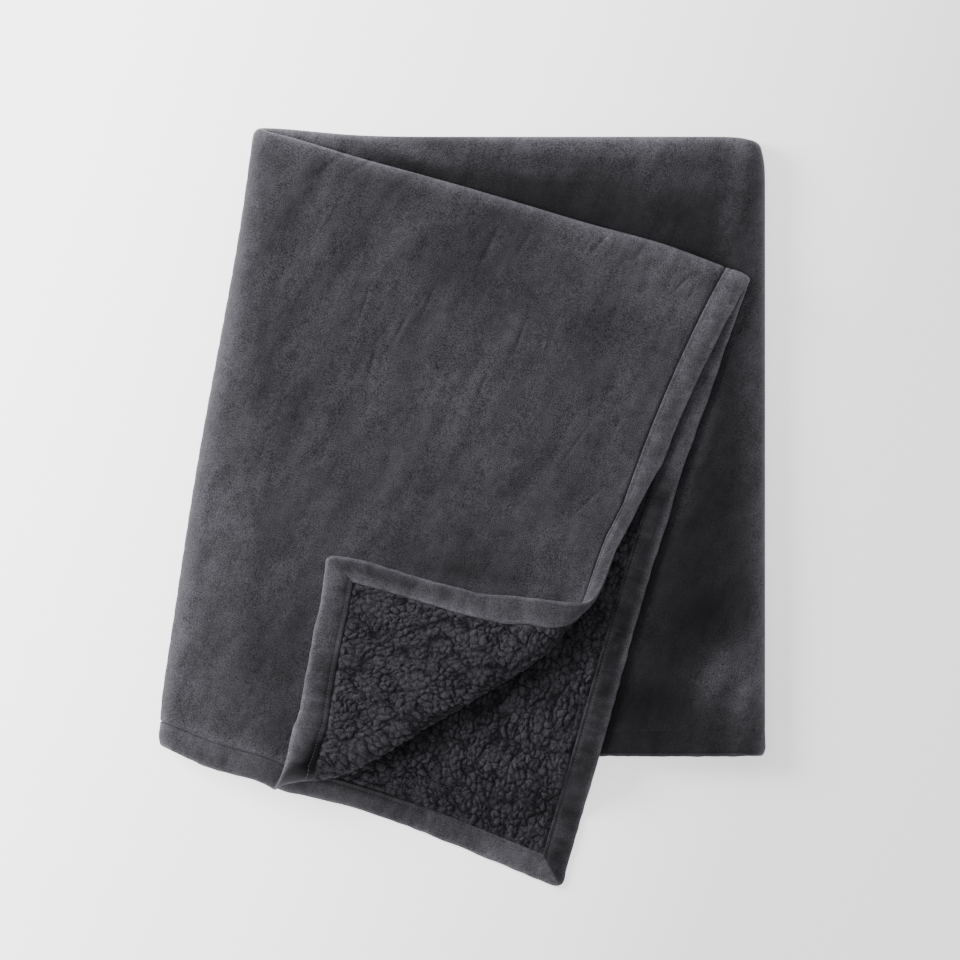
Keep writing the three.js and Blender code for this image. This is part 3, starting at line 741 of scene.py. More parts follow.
def velvet_finish(name, patch_scale, streak, speckle, sheen):
    """Velvet, with patches of a scale, and streaks, speckle and sheen of a strength."""
    finish = Finish(name)
    patches = finish.noise(scale=patch_scale, detail=4, roughness=0.6)
    along_streaks = finish.stretched(degrees=58, length=2.6, width=0.7)
    streaks = finish.noise(scale=15, detail=5, roughness=0.65, places=along_streaks)
    along_strokes = finish.stretched(degrees=64, length=2.4, width=0.8)
    noises = {
        "strokes": finish.noise(scale=48, detail=3, roughness=0.6, places=along_strokes),
        "mottle": finish.noise(scale=95, detail=3, roughness=0.6),
        "grain": finish.noise(scale=850, detail=1, roughness=0.7),
    }
    # the nap, with the painted light, painted shade and painted sheen stored on the mesh
    nap_and_painted_light = finish.value_of("nap_and_painted_light")
    strength = nap_and_painted_light * STREAK_STRENGTH["on_bright_nap"] + STREAK_STRENGTH["everywhere"]
    level = nap_and_painted_light + (patches + streaks) * strength * streak
    lively = level * (1 + summed(noises, SPECKLE_SHARES) * speckle)
    # painted sheen: the colour is made paler where the surface turns away from the eye
    share = lively + finish.grazing() * GRAZING_PAINTED_SHEEN
    creased = finish.bump(fine_creases(finish), strength=1, distance=1)
    bump = finish.bump(summed(noises, HEIGHT_SHARES), strength=0.6, distance=0.0018, below=creased)
    return finish.shade(
        Base_Color=finish.colour_between(VELVET_DARK, velvet_palest(), share * (1 / VELVET_RANGE)),
        Roughness=0.85,
        Specular_IOR_Level=0.15,
        Sheen_Weight=sheen,
        Sheen_Roughness=0.35,
        Sheen_Tint=SHEEN_TINT,
        Normal=bump,
    )


velvet_material = velvet_finish("velvet", patch_scale=11, streak=0.45, speckle=1, sheen=0.12)
binding_material = velvet_finish(
    "binding velvet", patch_scale=32, streak=0.4, speckle=0.85, sheen=0.16
)

# %% [markdown]
# ## Curly pile and thread
# The curly pile is matt and lumpy. Its lumps are modelled, so the finish only adds the small curls
# on each lump, with painted shade between them, a fuzz of fibres, and painted shade deep between the
# lumps and a painted shadow beside the roll, from the number `depth` on the mesh. The thread is smooth
# and a little lighter than the velvet, and its twist is fine noise.

# %% Pile and thread finishes
PILE_DARK = (0.003, 0.003, 0.0037)
PILE_LIGHT = (0.078, 0.076, 0.087)
PILE_SHARES = {"crown": 0.87, "depth": 0.98, "curls": 0.25, "fuzz": 1.5, "clouds": 0.5}
CURL_SCALE = 380
FUZZ_HEIGHT = 1.3
THREAD_DARK = (0.02, 0.02, 0.024)
THREAD_LIGHT = (0.075, 0.075, 0.085)


def pile_finish():
    """Curly pile."""
    finish = Finish("curly pile")
    curls = finish.add(
        "ShaderNodeTexVoronoi", {"feature": "SMOOTH_F1"}, {"Vector": finish.places(), "Scale": CURL_SCALE}
    )
    fuzz = finish.noise(scale=560, detail=3, roughness=0.8)
    clouds = finish.noise(scale=30, detail=3, roughness=0.6)
    # painted shade: darker where the pile lies deep, and between the small curls
    share = PILE_SHARES["crown"] - finish.value_of("depth") * PILE_SHARES["depth"]
    share = share - curls * PILE_SHARES["curls"]
    share = share + fuzz * PILE_SHARES["fuzz"] + clouds * PILE_SHARES["clouds"]
    bump = finish.bump(fuzz * FUZZ_HEIGHT - curls, strength=1, distance=0.0026)
    return finish.shade(
        Base_Color=finish.colour_between(PILE_DARK, PILE_LIGHT, share),
        Roughness=0.95,
        Specular_IOR_Level=0.15,
        Sheen_Weight=0.1,
        Sheen_Roughness=0.5,
        Sheen_Tint=SHEEN_TINT,
        Normal=bump,
    )


def thread_finish():
    """Thread, a little lighter than the velvet."""
    finish = Finish("thread")
    twist = finish.noise(scale=2500, detail=2, roughness=0.6)
    return finish.shade(
        Base_Color=finish.colour_between(THREAD_DARK, THREAD_LIGHT, 0.5 + twist),
        Roughness=0.6,
        Specular_IOR_Level=0.4,
    )


pile_material = pile_finish()
thread_material = thread_finish()


# %% [markdown]
# ## The floor's finish
# The floor is a plain, pale surface in even daylight, lighter towards the far left. Lamps strong
# enough to show it so would flatten the cloth, so it glows a little by itself, by a slope over its
# Object coordinates.

# %% Floor finish
FLOOR_GLOW = {"right": 0.92, "left": 3, "middle": 0.42}
GLOW_SLOPE = (-1.1, 0.35)


def floor_finish():
    """A pale floor that glows a little, more towards the far left."""
    finish = Finish("pale floor")
    share = finish.measured(finish.places(), GLOW_SLOPE, (0, 0), 1) + FLOOR_GLOW["middle"]
    glow = finish.colour_between([FLOOR_GLOW["right"]] * 3, [FLOOR_GLOW["left"]] * 3, share)
    return finish.shade(
        Base_Color=(0.9, 0.9, 0.9, 1),
        Roughness=0.9,
        Specular_IOR_Level=0.1,
        Emission_Color=glow,
        Emission_Strength=1,
    )


floor.data.materials.append(floor_finish())

# %% [markdown]
# ## From numbers to a mesh
# A cloth starts as a grid over the flat throw. It could be a plane that a Solidify modifier makes
# thick, but its two faces need their own heights at the bindings, so both are laid out, and joined
# round the rim. The grid is finer where it shows and at the bends, and coarser where it is hidden.


# %% Grids and meshes
def lines_over(*stretches):
    """Grid lines over stretches, each given as its start, its end and its step."""
    parts = [
        np.linspace(start, end, max(round((end - start) / step), 1), endpoint=False)
        for start, end, step in stretches
    ]
    return np.concatenate([*parts, [stretches[-1][1]]])


def new_piece(name, points, faces, material, numbers, is_smooth=True):
    """A mesh with its finish and the numbers that the finish reads."""
    mesh = bpy.data.meshes.new(name)
    mesh.from_pydata(np.asarray(points).tolist(), [], [list(face) for face in faces])
    for attribute, values in numbers.items():
        layer = mesh.attributes.new(attribute, "FLOAT", "POINT")
        layer.data.foreach_set("value", np.asarray(values, dtype=np.float32))
    mesh.polygons.foreach_set("use_smooth", [is_smooth] * len(mesh.polygons))
    mesh.materials.append(material)
    piece = bpy.data.objects.new(name, mesh)
    bpy.context.scene.collection.objects.link(piece)
    mesh.validate()
    mesh.update()
    print(name, "has", sum(len(face.vertices) - 2 for face in mesh.polygons), "triangles")
    return piece


def slab_faces(rows, columns, skip=1):
    """The faces of a closed slab: a fine grid, a coarser one after it, and the rim between them."""
    fine = np.arange(rows * columns).reshape(rows, columns)
    few_rows = (rows - 1) // skip + 1
    few_columns = (columns - 1) // skip + 1
    coarse = rows * columns + np.arange(few_rows * few_columns).reshape(few_rows, few_columns)

    def quads(a, b, c, d):
        return np.stack([a.ravel(), b.ravel(), c.ravel(), d.ravel()], axis=-1).tolist()

    faces = quads(fine[:-1, :-1], fine[1:, :-1], fine[1:, 1:], fine[:-1, 1:])
    faces += quads(coarse[:-1, :-1], coarse[:-1, 1:], coarse[1:, 1:], coarse[1:, :-1])
    rims = [
        (fine[::-1, 0], coarse[::-1, 0]),
        (fine[:, -1], coarse[:, -1]),
        (fine[0], coarse[0]),
        (fine[-1, ::-1], coarse[-1, ::-1]),
    ]
    for upper, lower in rims:
        for k in range(len(lower) - 1):
            steps = upper[k * skip:(k + 1) * skip + 1]
            faces.append([*steps.tolist(), int(lower[k + 1]), int(lower[k])])
    return faces


def from_edge(s, t):
    """How far a place lies inward of the throw's nearest edge."""
    return np.minimum(np.minimum(s, THROW_LENGTH - s), np.minimum(t, THROW_WIDTH - t))


def cloth_piece(name, upper, lower, material, numbers, skip=1, is_turned=False):
    """A closed sheet between two grids of points, the lower one coarser by the skip."""
    points = np.concatenate([upper.reshape(-1, 3), lower.reshape(-1, 3)])
    faces = slab_faces(*upper.shape[:2], skip)
    if is_turned:
        faces = [face[::-1] for face in faces]
    return new_piece(name, points, faces, material, numbers)


print("a sheet of one square has", len(slab_faces(2, 2)), "faces")

# %% [markdown]
# ## How the nap lies
# The flap's velvet leans towards the light and the middle third's leans away, so the flap is painted
# pale and the middle third nearly black: painted light and painted shade of one velvet. Patches are
# listed, each with how much it lightens or darkens: some are where a hand has brushed the nap, and
# some are painted light, painted shade and painted sheen beside folds and edges. Noise couldn't tell
# where a hand went, and it is left to the finish.

# %% Brushed patches and painted light
# painted light on the flap's velvet, painted shade on the middle third's
FLAP_PAINTED_LIT_NAP = 0.46
MIDDLE_PAINTED_SHADED_NAP = 0.17
NAP_AND_PAINTED_LIGHT_PATCHES = table(
    "layer x y degrees length width change",
    ("flap", 15, 272, 50, 60, 34, -0.09),
    ("flap", -104, 273, 60, 45, 30, -0.09),
    ("flap", -80, 190, 62, 80, 20, -0.04),
    ("flap", -160, 84, 70, 60, 22, -0.08),
    ("flap", 118, 160, 20, 60, 20, -0.07),
    ("flap", 10, -50, 0, 70, 22, -0.09),
    ("flap", 10, -67, -8, 80, 8, -0.16),
    # painted shade beside the left binding of the flap's end
    ("flap", -179, -178, 79, 105, 12, -0.15),
    ("flap", -150, -255, 62, 34, 13, -0.26),
    ("flap", 192, 218, -22, 48, 24, 0.14),
    ("flap", -255, 60, 80, 190, 22, 0.1),
    ("flap", -285, -160, 82, 90, 26, 0.13),
    # painted sheen along the left fold
    ("flap", -284, -78, 80, 17, 7, 0.2),
    ("flap", -280, -122, 76, 34, 9, 0.24),
    ("flap", -292, -178, 60, 15, 8, 0.2),
    ("flap", -247, -164, 50, 30, 12, 0.08),
    ("flap", -200, -150, 30, 60, 40, -0.07),
    ("flap", 150, 130, 60, 60, 34, 0.06),
    ("flap", 207, 125, 70, 110, 17, 0.11),
    ("flap", 212, 240, -20, 55, 30, 0.17),
    ("flap", -190, 330, 60, 60, 20, 0.04),
    ("flap", -148, 330, 58, 24, 7, -0.1),
    ("flap", -35, 278, 52, 22, 8, -0.1),
    ("flap", 55, 284, 48, 16, 9, -0.08),
    ("flap", 190, 226, 20, 12, 8, -0.1),
    ("flap", 34, 128, 80, 20, 14, 0.07),
    ("flap", 118, 262, 20, 20, 9, 0.1),
    ("flap", -60, 40, 40, 26, 12, 0.07),
    ("flap", 80, -30, 20, 26, 12, 0.07),
    ("middle", -32, 379, 0, 44, 10, -0.65),
    # painted highlight along the ridge, then painted shade below it
    ("middle", -50, 364, -18, 38, 6, 0.25),
    ("middle", -72, 357, -18, 44, 8, -0.2),
    ("middle", 180, 360, 84, 30, 24, 0.12),
    ("middle", 228, 340, 0, 44, 20, 0.24),
    ("middle", 280, 330, 80, 65, 15, 0.22),
    # painted light where the right fold lies in shade
    ("middle", 289, 200, 88, 60, 17, 0.32),
    ("middle", 297, 80, 90, 130, 11, 0.12),
    ("middle", 304, -120, 90, 160, 7, 0.15),
    ("middle", 288, -178, 76, 42, 17, 0.34),
    ("middle", 260, -166, 40, 34, 15, 0.28),
    ("middle", 255, -184, 76, 24, 12, 0.15),
    ("middle", 286, -206, 84, 34, 9, 0.18),
    ("middle", 75, 346, -4, 90, 8, 0.16),
    ("middle", 195, -166, 0, 30, 18, 0.08),
    ("middle", 255, -112, 70, 30, 18, -0.1),
    # painted light in the shadow beside the flap's right edge
    ("middle", 252, 96, 73, 150, 7, 0.24),
    ("middle", 120, 290, -16, 120, 26, -0.09),
    ("middle", 232, -84, 75, 130, 34, -0.1),
    ("middle", 195, -200, 20, 60, 30, -0.09),
)
print(len(NAP_AND_PAINTED_LIGHT_PATCHES), "patches of brushed nap")

# %% [markdown]
# Along a fold the velvet is painted paler in a rim, a painted sheen where the cloth turns away.
# Each fold has its own: how much paler it is, over what width, and how far that fades.

# %% Painted sheen along the folds, and the nap and painted light of a place
PAINTED_SHEEN_RIMS = {
    "flap": {"change": 0.36, "width": 3, "fade": 8},
    "flap_edge": {"change": 0.4, "width": 0, "fade": 2.5},
    "middle": {"change": 0.62, "width": 5, "fade": 18},
    "middle_edge": {"change": 0.35, "width": 2, "fade": 6},
    "right_fold": {"change": 0.5, "width": 4, "fade": 8},
}


def painted_sheen_rim(name, distance):
    """The lightness of a painted sheen rim at a distance from its fold."""
    rim = PAINTED_SHEEN_RIMS[name]
    return rim["change"] * np.exp(-((np.maximum(distance - rim["width"], 0) / rim["fade"]) ** 2))


def nap_and_painted_light_at(s, t, places):
    """How light the velvet is at places of the folded throw: its nap, with painted light, painted shade and
    painted sheen.
    """
    x, y = pack_plan(places)
    flap_share = on_the_flap(s, t)
    from_half_fold = np.abs(THROW_WIDTH / 2 - t) - (HALF_ARC / 2 - DOUBLED_REACH)
    # painted sheen: paler rims along the folds of the middle third and of the flap
    middle_rims = painted_sheen_rim("middle", from_half_fold) + painted_sheen_rim("middle_edge", from_half_fold)
    middle_rims = np.maximum(middle_rims, painted_sheen_rim("right_fold", PACK_RIGHT - x))
    flap_rims = painted_sheen_rim("flap", from_half_fold) + painted_sheen_rim("flap_edge", from_half_fold)
    rims = mix(middle_rims, flap_rims, flap_share)
    # painted light on the flap and painted shade on the middle third, with the painted sheen of the folds
    nap_and_painted_light = mix(MIDDLE_PAINTED_SHADED_NAP, FLAP_PAINTED_LIT_NAP, flap_share) + rims
    for patch in NAP_AND_PAINTED_LIGHT_PATCHES:
        layer_share = flap_share if patch["layer"] == "flap" else 1 - flap_share
        nap_and_painted_light = nap_and_painted_light + patch["change"] * spot(x, y, patch) * layer_share
    return nap_and_painted_light


print(len(PAINTED_SHEEN_RIMS), "pale rims")

# %% [markdown]
# ## The velvet face
# One sheet of velvet, as large as the throw. At its edges it dips into the bindings, and the narrow
# trough beside them is the seam line that the eye sees. The troughs could be bumps, but from the
# side a seam is a real dip, so the grid has its own lines there. Along the lower edge of the middle
# third the binding lies flush, and the trough closes. Beside the seam of the first side the velvet is
# made paler in a stripe.

# %% Velvet sheet
EDGE_LINES = [5.6, 15, 25.4, 26.5, 27.3, 28.2, 29.6, 32]
EDGE_REACH = 34
VELVET_EDGE = {"inward": [5.6, 25.4, 26.5, 28.2, 29.6], "height": [-0.75, -0.75, -0.4, 1.25, 1.65]}
FLUSH_EDGE = {"inward": [5.6, 24, 25.4, 26.5, 29.6], "height": [-0.75, -0.75, 0.6, 1.6, 1.65]}
VELVET_BACK = {"inward": [5.6, 26.5, 29.6], "height": [-1.55, -1.55, 0.15]}
FLUSH_STRETCH = {"from": 455, "to": 985, "fade": 15}
SEAM_STRIPE = {"inward": 31, "width": 6, "from": 950, "fade": 60, "change": 0.2}
FINE = 6.5


def with_edges(length, inner):
    """Grid lines with those of the edges at both ends."""
    inside = inner[(inner > EDGE_REACH) & (inner < length - EDGE_REACH)]
    return np.concatenate([EDGE_LINES, inside, length - np.array(EDGE_LINES[::-1])])


def flat_grid(s_stretches, t_stretches):
    """A grid over the flat throw, and how far each place lies inward of the edge."""
    s_lines = with_edges(THROW_LENGTH, lines_over(*s_stretches))
    t_lines = with_edges(THROW_WIDTH, lines_over(*t_stretches))
    s, t = np.meshgrid(s_lines, t_lines, indexing="ij")
    return s, t, from_edge(s, t)


def height_at(inward, profile):
    """The height of a profile that runs inward from the edge."""
    return np.interp(inward, profile["inward"], profile["height"])


def flush_share(s, t):
    """1 along the second side of the middle third, where the binding lies level with the velvet."""
    starting = smooth((s - FLUSH_STRETCH["from"]) / FLUSH_STRETCH["fade"])
    ending = smooth((FLUSH_STRETCH["to"] - s) / FLUSH_STRETCH["fade"])
    return starting * ending * np.where(t > HALF_WIDTH, 1, 0)


def seam_stripe(s, t):
    """How much paler the velvet is beside the first side's seam."""
    beside = np.exp(-(((t - SEAM_STRIPE["inward"]) / SEAM_STRIPE["width"]) ** 2))
    return SEAM_STRIPE["change"] * (beside * smooth((s - SEAM_STRIPE["from"]) / SEAM_STRIPE["fade"]))


grid_s, grid_t, inward = flat_grid(
    ((34, 470, 22), (470, 512, 2.8), (512, 985, FINE), (985, 1135, 4), (1135, 1500, FINE)),
    ((34, 624, FINE), (624, 646, 2.4), (646, 1240, FINE)),
)
flush = flush_share(grid_s, grid_t)
velvet_top = mix(height_at(inward, VELVET_EDGE), height_at(inward, FLUSH_EDGE), flush)
upper_points = fold_points(grid_s, grid_t, velvet_top)
lower_points = fold_points(grid_s, grid_t, height_at(inward, VELVET_BACK))
# the nap with its painted light, painted shade and painted sheen, stored on the mesh for the finish
nap_and_painted_light = (nap_and_painted_light_at(grid_s, grid_t, upper_points) + seam_stripe(grid_s, grid_t)).ravel()
velvet = cloth_piece(
    "velvet_face", upper_points, lower_points, velvet_material, {"nap_and_painted_light": np.concatenate([nap_and_painted_light, nap_and_painted_light])}
)

# %% [markdown]
# ## The curly back
# The back is a second sheet. Where it can be seen, at the turned-back corner and on the layer below
# it, it is only the ground that the curls stand on. Elsewhere it is hidden, and as thick as the pile,
# so curls there would be wasted.

# %% Pile sheet
PILE_EDGE = {"inward": [5.6, 26.5, 29.6], "height": [-1.85, -1.85, -0.15]}
PILE_BACK = {"inward": [5.6, 26.5, 28.2, 32], "height": [-2.65, -2.65, -3.6, PILE_BOTTOM]}
GROUND_BACK = -2.65
CURLS_UNDERSIDE = -2.75
CURLS_START = 25.4
# painted shade: the ground under the curls is coloured as dark as deep pile
PAINTED_SHADE_OF_BACK = 0.6
CURL_MARGIN = 14
CURL_AREAS = table(
    "name s_from s_to t_from t_to degrees seed",
    ("curls_of_the_turned_corner", 1172, THROW_LENGTH - CURLS_START, CURLS_START, 348, 32, 21),
    ("curls_of_the_layer_below", 1150, THROW_LENGTH - CURLS_START, 900, THROW_WIDTH - CURLS_START, 74, 41),
)


def share_inside(s, t, area):
    """1 inside an area of the flat throw, falling to 0 within a margin of its inner edges."""
    from_inner_t = area["t_to"] - t if area["t_from"] < HALF_WIDTH else t - area["t_from"]
    return smooth((s - area["s_from"]) / CURL_MARGIN) * smooth(from_inner_t / CURL_MARGIN)


grid_s, grid_t, inward = flat_grid(
    ((34, 470, 22), (470, 512, 4), (512, 985, 20), (985, 1135, 6), (1135, 1500, 8)),
    ((34, 624, 9), (624, 646, 2.8), (646, 1240, 9)),
)
pile_back = height_at(inward, PILE_BACK)
for area in CURL_AREAS:
    ground = np.maximum(pile_back, GROUND_BACK)
    pile_back = mix(pile_back, ground, share_inside(grid_s, grid_t, area))
pile = cloth_piece(
    "pile_back",
    fold_points(grid_s, grid_t, height_at(inward, PILE_EDGE)),
    fold_points(grid_s, grid_t, pile_back),
    pile_material,
    {"depth": np.full(2 * grid_s.size, PAINTED_SHADE_OF_BACK)},
)

# %% [markdown]
# ## The curls
# The pile has drawn together into lumps of about 5 by 8 mm, with deep gaps between them, in uneven
# rows. Hair would take far too many strands, and a bump would be flat at the edge and from the side,
# so the lumps are modelled in a fine grid. Points strewn over the cloth each make a lump: a place
# belongs to the nearest point, it is high near it, and it is deep where two points are equally far.

# %% Strewing lumps
LUMP_REACH = 0.85
STREWN_CELLS = 400
CELLS_BEFORE = 120
STREWN_WITHIN = (0.02, 0.98)
TALLNESS = (0.55, 1)
FAR_OFF = 9.0


def strewn_lumps(along, across, seed):
    """Domes from 0 to 1 over strewn points, and how far each place is from the border of its dome."""
    scatter = np.random.default_rng(seed)
    offsets = scatter.uniform(*STREWN_WITHIN, (2, STREWN_CELLS, STREWN_CELLS))
    tallness = scatter.uniform(*TALLNESS, (STREWN_CELLS, STREWN_CELLS))
    p = along + CELLS_BEFORE
    q = across + CELLS_BEFORE
    nearest = np.full(p.shape, FAR_OFF)
    second = np.full(p.shape, FAR_OFF)
    tall = np.zeros(p.shape)
    for step_p in (-1, 0, 1):
        for step_q in (-1, 0, 1):
            i = np.floor(p).astype(int) + step_p
            j = np.floor(q).astype(int) + step_q
            distance = np.hypot(i + offsets[0, i, j] - p, j + offsets[1, i, j] - q)
            is_nearer = distance < nearest
            second = np.where(is_nearer, nearest, np.minimum(second, distance))
            tall = np.where(is_nearer, tallness[i, j], tall)
            nearest = np.where(is_nearer, distance, nearest)
    dome = np.sqrt(np.clip(1 - (nearest / LUMP_REACH) ** 2, 0, 1)) * tall
    return dome, second - nearest


print("points are strewn over", STREWN_CELLS, "by", STREWN_CELLS, "cells")

# %% [markdown]
# Lumps are drawn out along their rows, which lie at an angle of the pack's plan, and they wander a
# little. Each has smaller curls on it. The gaps between two rows are all about as deep, and those
# within a row are deep in some places and shallow in others.

# %% Lumps in rows
LUMP = 5.3
LUMP_STRETCH = 1.55
SMALL_CURL = {"along": 2.9, "across": 2.5}
WANDERING = table("by spacing", (3, 14), (1.5, 4.5))
GAP_DEPTH = {"least": 0.5, "contrast": 0.9, "spacing": 9}
GAP_WIDTH = 0.15
ROW_GAPS = {"depth": 0.85, "width": 0.11, "spacing": 8.5, "stretch": 2.6}
HEIGHT_PARTS = {"ground": 0.26, "lump": 0.48, "small_curl": 0.26}
CLUMPS = {"strength": 0.12, "spacing": 23}


def cloth_direction(s, t, degrees):
    """The angle in the flat throw that lies at an angle of the plan, near a place."""
    here, by_s, by_t = (fold_points(s + ds, t + dt, PILE_BOTTOM)[:2] for ds, dt in ((0, 0), (1, 0), (0, 1)))
    wanted = np.array([math.cos(math.radians(degrees)), math.sin(math.radians(degrees))])
    ds, dt = np.linalg.solve(np.stack([by_s - here, by_t - here], axis=-1), wanted)
    return math.degrees(math.atan2(dt, ds))


def wandering(place, s, t, seed):
    """A coordinate that wanders off a little, in wide waves and in small ones."""
    for number, waves in enumerate(WANDERING):
        place = place + waves["by"] * uneven_over(s, t, waves["spacing"], seed + number)
    return place


def curl_lumps(s, t, degrees, seed):
    """Heights of the curls from 0, a gap, to 1, a crown: lumps in broken rows, with small curls."""
    along, across = turned_axes(s, t, THROW_LENGTH, 0, degrees)
    along = wandering(along, s, t, seed)
    across = wandering(across, s, t, seed + 2)
    dome, from_border = strewn_lumps(along / (LUMP * LUMP_STRETCH), across / LUMP, seed + 4)
    small, _ = strewn_lumps(along / SMALL_CURL["along"], across / SMALL_CURL["across"], seed + 6)
    contrast = GAP_DEPTH["contrast"] * uneven_over(s, t, GAP_DEPTH["spacing"], seed + 5)
    depth = mix(GAP_DEPTH["least"], 1, smooth(0.5 + contrast))
    crease = 1 - depth * np.exp(-from_border / GAP_WIDTH)
    row = np.abs(uneven_over(along / ROW_GAPS["stretch"], across, ROW_GAPS["spacing"], seed + 7))
    rows = 1 - ROW_GAPS["depth"] * np.exp(-row / ROW_GAPS["width"])
    clumps = 1 - CLUMPS["strength"] + CLUMPS["strength"] * uneven_over(s, t, CLUMPS["spacing"], seed + 8)
    rounded = HEIGHT_PARTS["lump"] * dome + HEIGHT_PARTS["small_curl"] * small
    return crease * rows * (HEIGHT_PARTS["ground"] + rounded) * clumps


print("a lump is about", LUMP, "by", round(LUMP * LUMP_STRETCH, 1), "mm")

# %% [markdown]
# Each patch of curls is a closed sheet too: fine above, and coarse below, where it stands on the
# ground. The lower the pile lies, the darker it is painted, a painted shade, and along the roll the
# pile of the layer below is painted darker still, a painted shadow of the roll.

# %% Growing the curls
CROWN = -7.9
GAP = -3.3
CURL_CELL = 1.15
GROUND_SKIP = 6
SEAM_RISE = 5
GAP_SHADE_BY_HEIGHT = 1.35
ROLL_PAINTED_SHADOW = {"x": -5, "y": -225, "degrees": 33, "length": 120, "width": 24, "depth": 0.3}


def curl_lines(start, end):
    """Fine grid lines whose every sixth one is also a line of the ground."""
    cells = round((end - start) / (CURL_CELL * GROUND_SKIP)) * GROUND_SKIP
    return np.linspace(start, end, cells + 1)


def curl_patch(area):
    """The curls over one area of the flat throw."""
    s, t = np.meshgrid(
        curl_lines(area["s_from"], area["s_to"]), curl_lines(area["t_from"], area["t_to"]), indexing="ij"
    )
    middle = ((area["s_from"] + area["s_to"]) / 2, (area["t_from"] + area["t_to"]) / 2)
    lumps = curl_lumps(s, t, cloth_direction(*middle, area["degrees"]), area["seed"])
    share = share_inside(s, t, area) * smooth((from_edge(s, t) - CURLS_START) / SEAM_RISE)
    outer = fold_points(s, t, mix(GAP, CROWN, lumps * share))
    coarse = (slice(None, None, GROUND_SKIP), slice(None, None, GROUND_SKIP))
    ground = fold_points(s[coarse], t[coarse], CURLS_UNDERSIDE)
    # painted shade: the lower the pile, the darker it is coloured
    depth = np.clip(1 - GAP_SHADE_BY_HEIGHT * lumps, 0, 1)
    # painted shadow of the roll on the pile of the layer below
    if area["t_from"] > HALF_WIDTH:
        depth = depth + ROLL_PAINTED_SHADOW["depth"] * spot(*pack_plan(outer), ROLL_PAINTED_SHADOW)
    painted_pile_shade = np.concatenate([depth.ravel(), depth[coarse].ravel()])
    return cloth_piece(area["name"], outer, ground, pile_material, {"depth": painted_pile_shade}, GROUND_SKIP, True)


curls = [curl_patch(area) for area in CURL_AREAS]

# %% [markdown]
# ## The bindings
# A binding is a strip of the velvet folded over the edge of both cloths and sewn through, so it is
# rounded and puffy, with a groove where the thread pulls it in and a narrow lip beyond. A bevelled
# curve would be as round everywhere, so the strip is one long C, drawn as a section and swept along
# the edge. On the velvet side it is pulled nearly level.

# %% Section of the binding
GROOVE = 21.8
OUTER_TOP = [
    (26, 0.35), (25.6, 0.95), (24.3, 1.3), (22.8, 0.95), (GROOVE, 0.5), (20.9, 1.05), (19, 1.6), (16, 1.95),
    (12.5, 2.05), (9, 1.9), (6, 1.45), (3.6, 0.75), (1.8, -0.1), (0.6, -1.1), (0, -2),
]
INNER_TOP = [
    (25.9, -0.2), (24.5, -0.15), (22.8, -0.1), (GROOVE, -0.05), (20.9, 0), (19, 0.05), (16, 0.15),
    (12.5, 0.3), (9, 0.45), (6.6, 0.5), (5, 0.2), (3.4, -0.4), (2.2, -1), (1.4, -1.6), (1.1, -2),
]
LEVEL_TOP = {
    "inward": [0, 3.6, 6, 9, 12.5, 16, 19, 26],
    "height": [-2, 0.75, 1.45, 1.9, 2, 1.95, 1.85, 1.66],
}
LEVEL_FROM = 9
VELVET_SIDE_LEVEL = 0.6
MIDDLE_OF_BINDING = -1.975


def mirrored(top):
    """A run of section points with its mirror image below the middle of the binding."""
    below = [(inward, 2 * MIDDLE_OF_BINDING - height) for inward, height in reversed(top)]
    return np.array([*top, *below[1:]])


outer_run = mirrored(OUTER_TOP)
inner_run = mirrored(INNER_TOP)
section = np.concatenate([outer_run, inner_run[::-1]])
print("section of the binding has", len(section), "points")

# %% [markdown]
# How light the velvet of a binding is depends partly on how it was brushed and partly on how its
# rounded strip faces the light, which is painted light and painted shade, so a table gives bands
# along each edge: the side of the cloth that they are on, and how much paler or darker they are at
# the nose, in the middle and at the seam.

# %% Nap and painted light of the bindings
BINDING_LIGHTNESS = 0.15
NOSE_PAINTED_SHEEN = {"change": 0.26, "width": 3.2}
EDGE_LINE = {"change": -0.14, "inward": 3.8, "width": 1.2}
MOTTLE = {"change": 0.05, "spacing": 6, "wide_spacing": 19, "seed": 51}
BARS = {"change": 0.1, "width": 3.4, "length": 14, "seed": 53}
BAND_FADE = 50
BAND_PLACES = [2, 7, 13, 22]
SIDES = {"velvet": 1, "pile": -1}
# painted light and painted shade of the rounded strip, partly nap: each stretch paler or darker by how it
# faces the light
NAP_AND_PAINTED_SHADE_BANDS = table(
    "edge from to side nose middle seam",
    ("flap end", 380, 640, "velvet", 0.55, 0.04, 0.22),
    ("flap end", 340, 380, "velvet", 0.5, 0.08, 0.3),
    ("flap end", -60, 340, "velvet", 0.25, -0.04, 0.15),
    ("flap end", -60, 110, "pile", 0.1, -0.22, 0.32),
    ("flap end", 110, 640, "pile", -0.1, -0.06, 0.32),
    ("flap end", 640, 845, "pile", 0.6, 0.15, -0.15),
    ("flap end", 845, 1060, "pile", 0.4, -0.46, -0.42),
    ("flap end", 1060, 1330, "pile", 0.05, -0.36, -0.34),
    ("first side", 600, 1172, "velvet", 0.15, -0.13, 0),
    ("first side", 1172, 1310, "pile", 0.1, -0.32, -0.5),
    ("first side", 1310, 1420, "pile", 0.12, -0.12, -0.36),
    ("first side", 1420, 1580, "pile", 0.12, -0.03, -0.26),
    ("second side", 1000, 1350, "pile", 0.25, -0.05, -0.42),
    ("second side", 1350, 1440, "pile", 0.25, -0.04, -0.1),
    ("second side", 1440, 1580, "pile", 0.5, 0.36, 0.2),
)


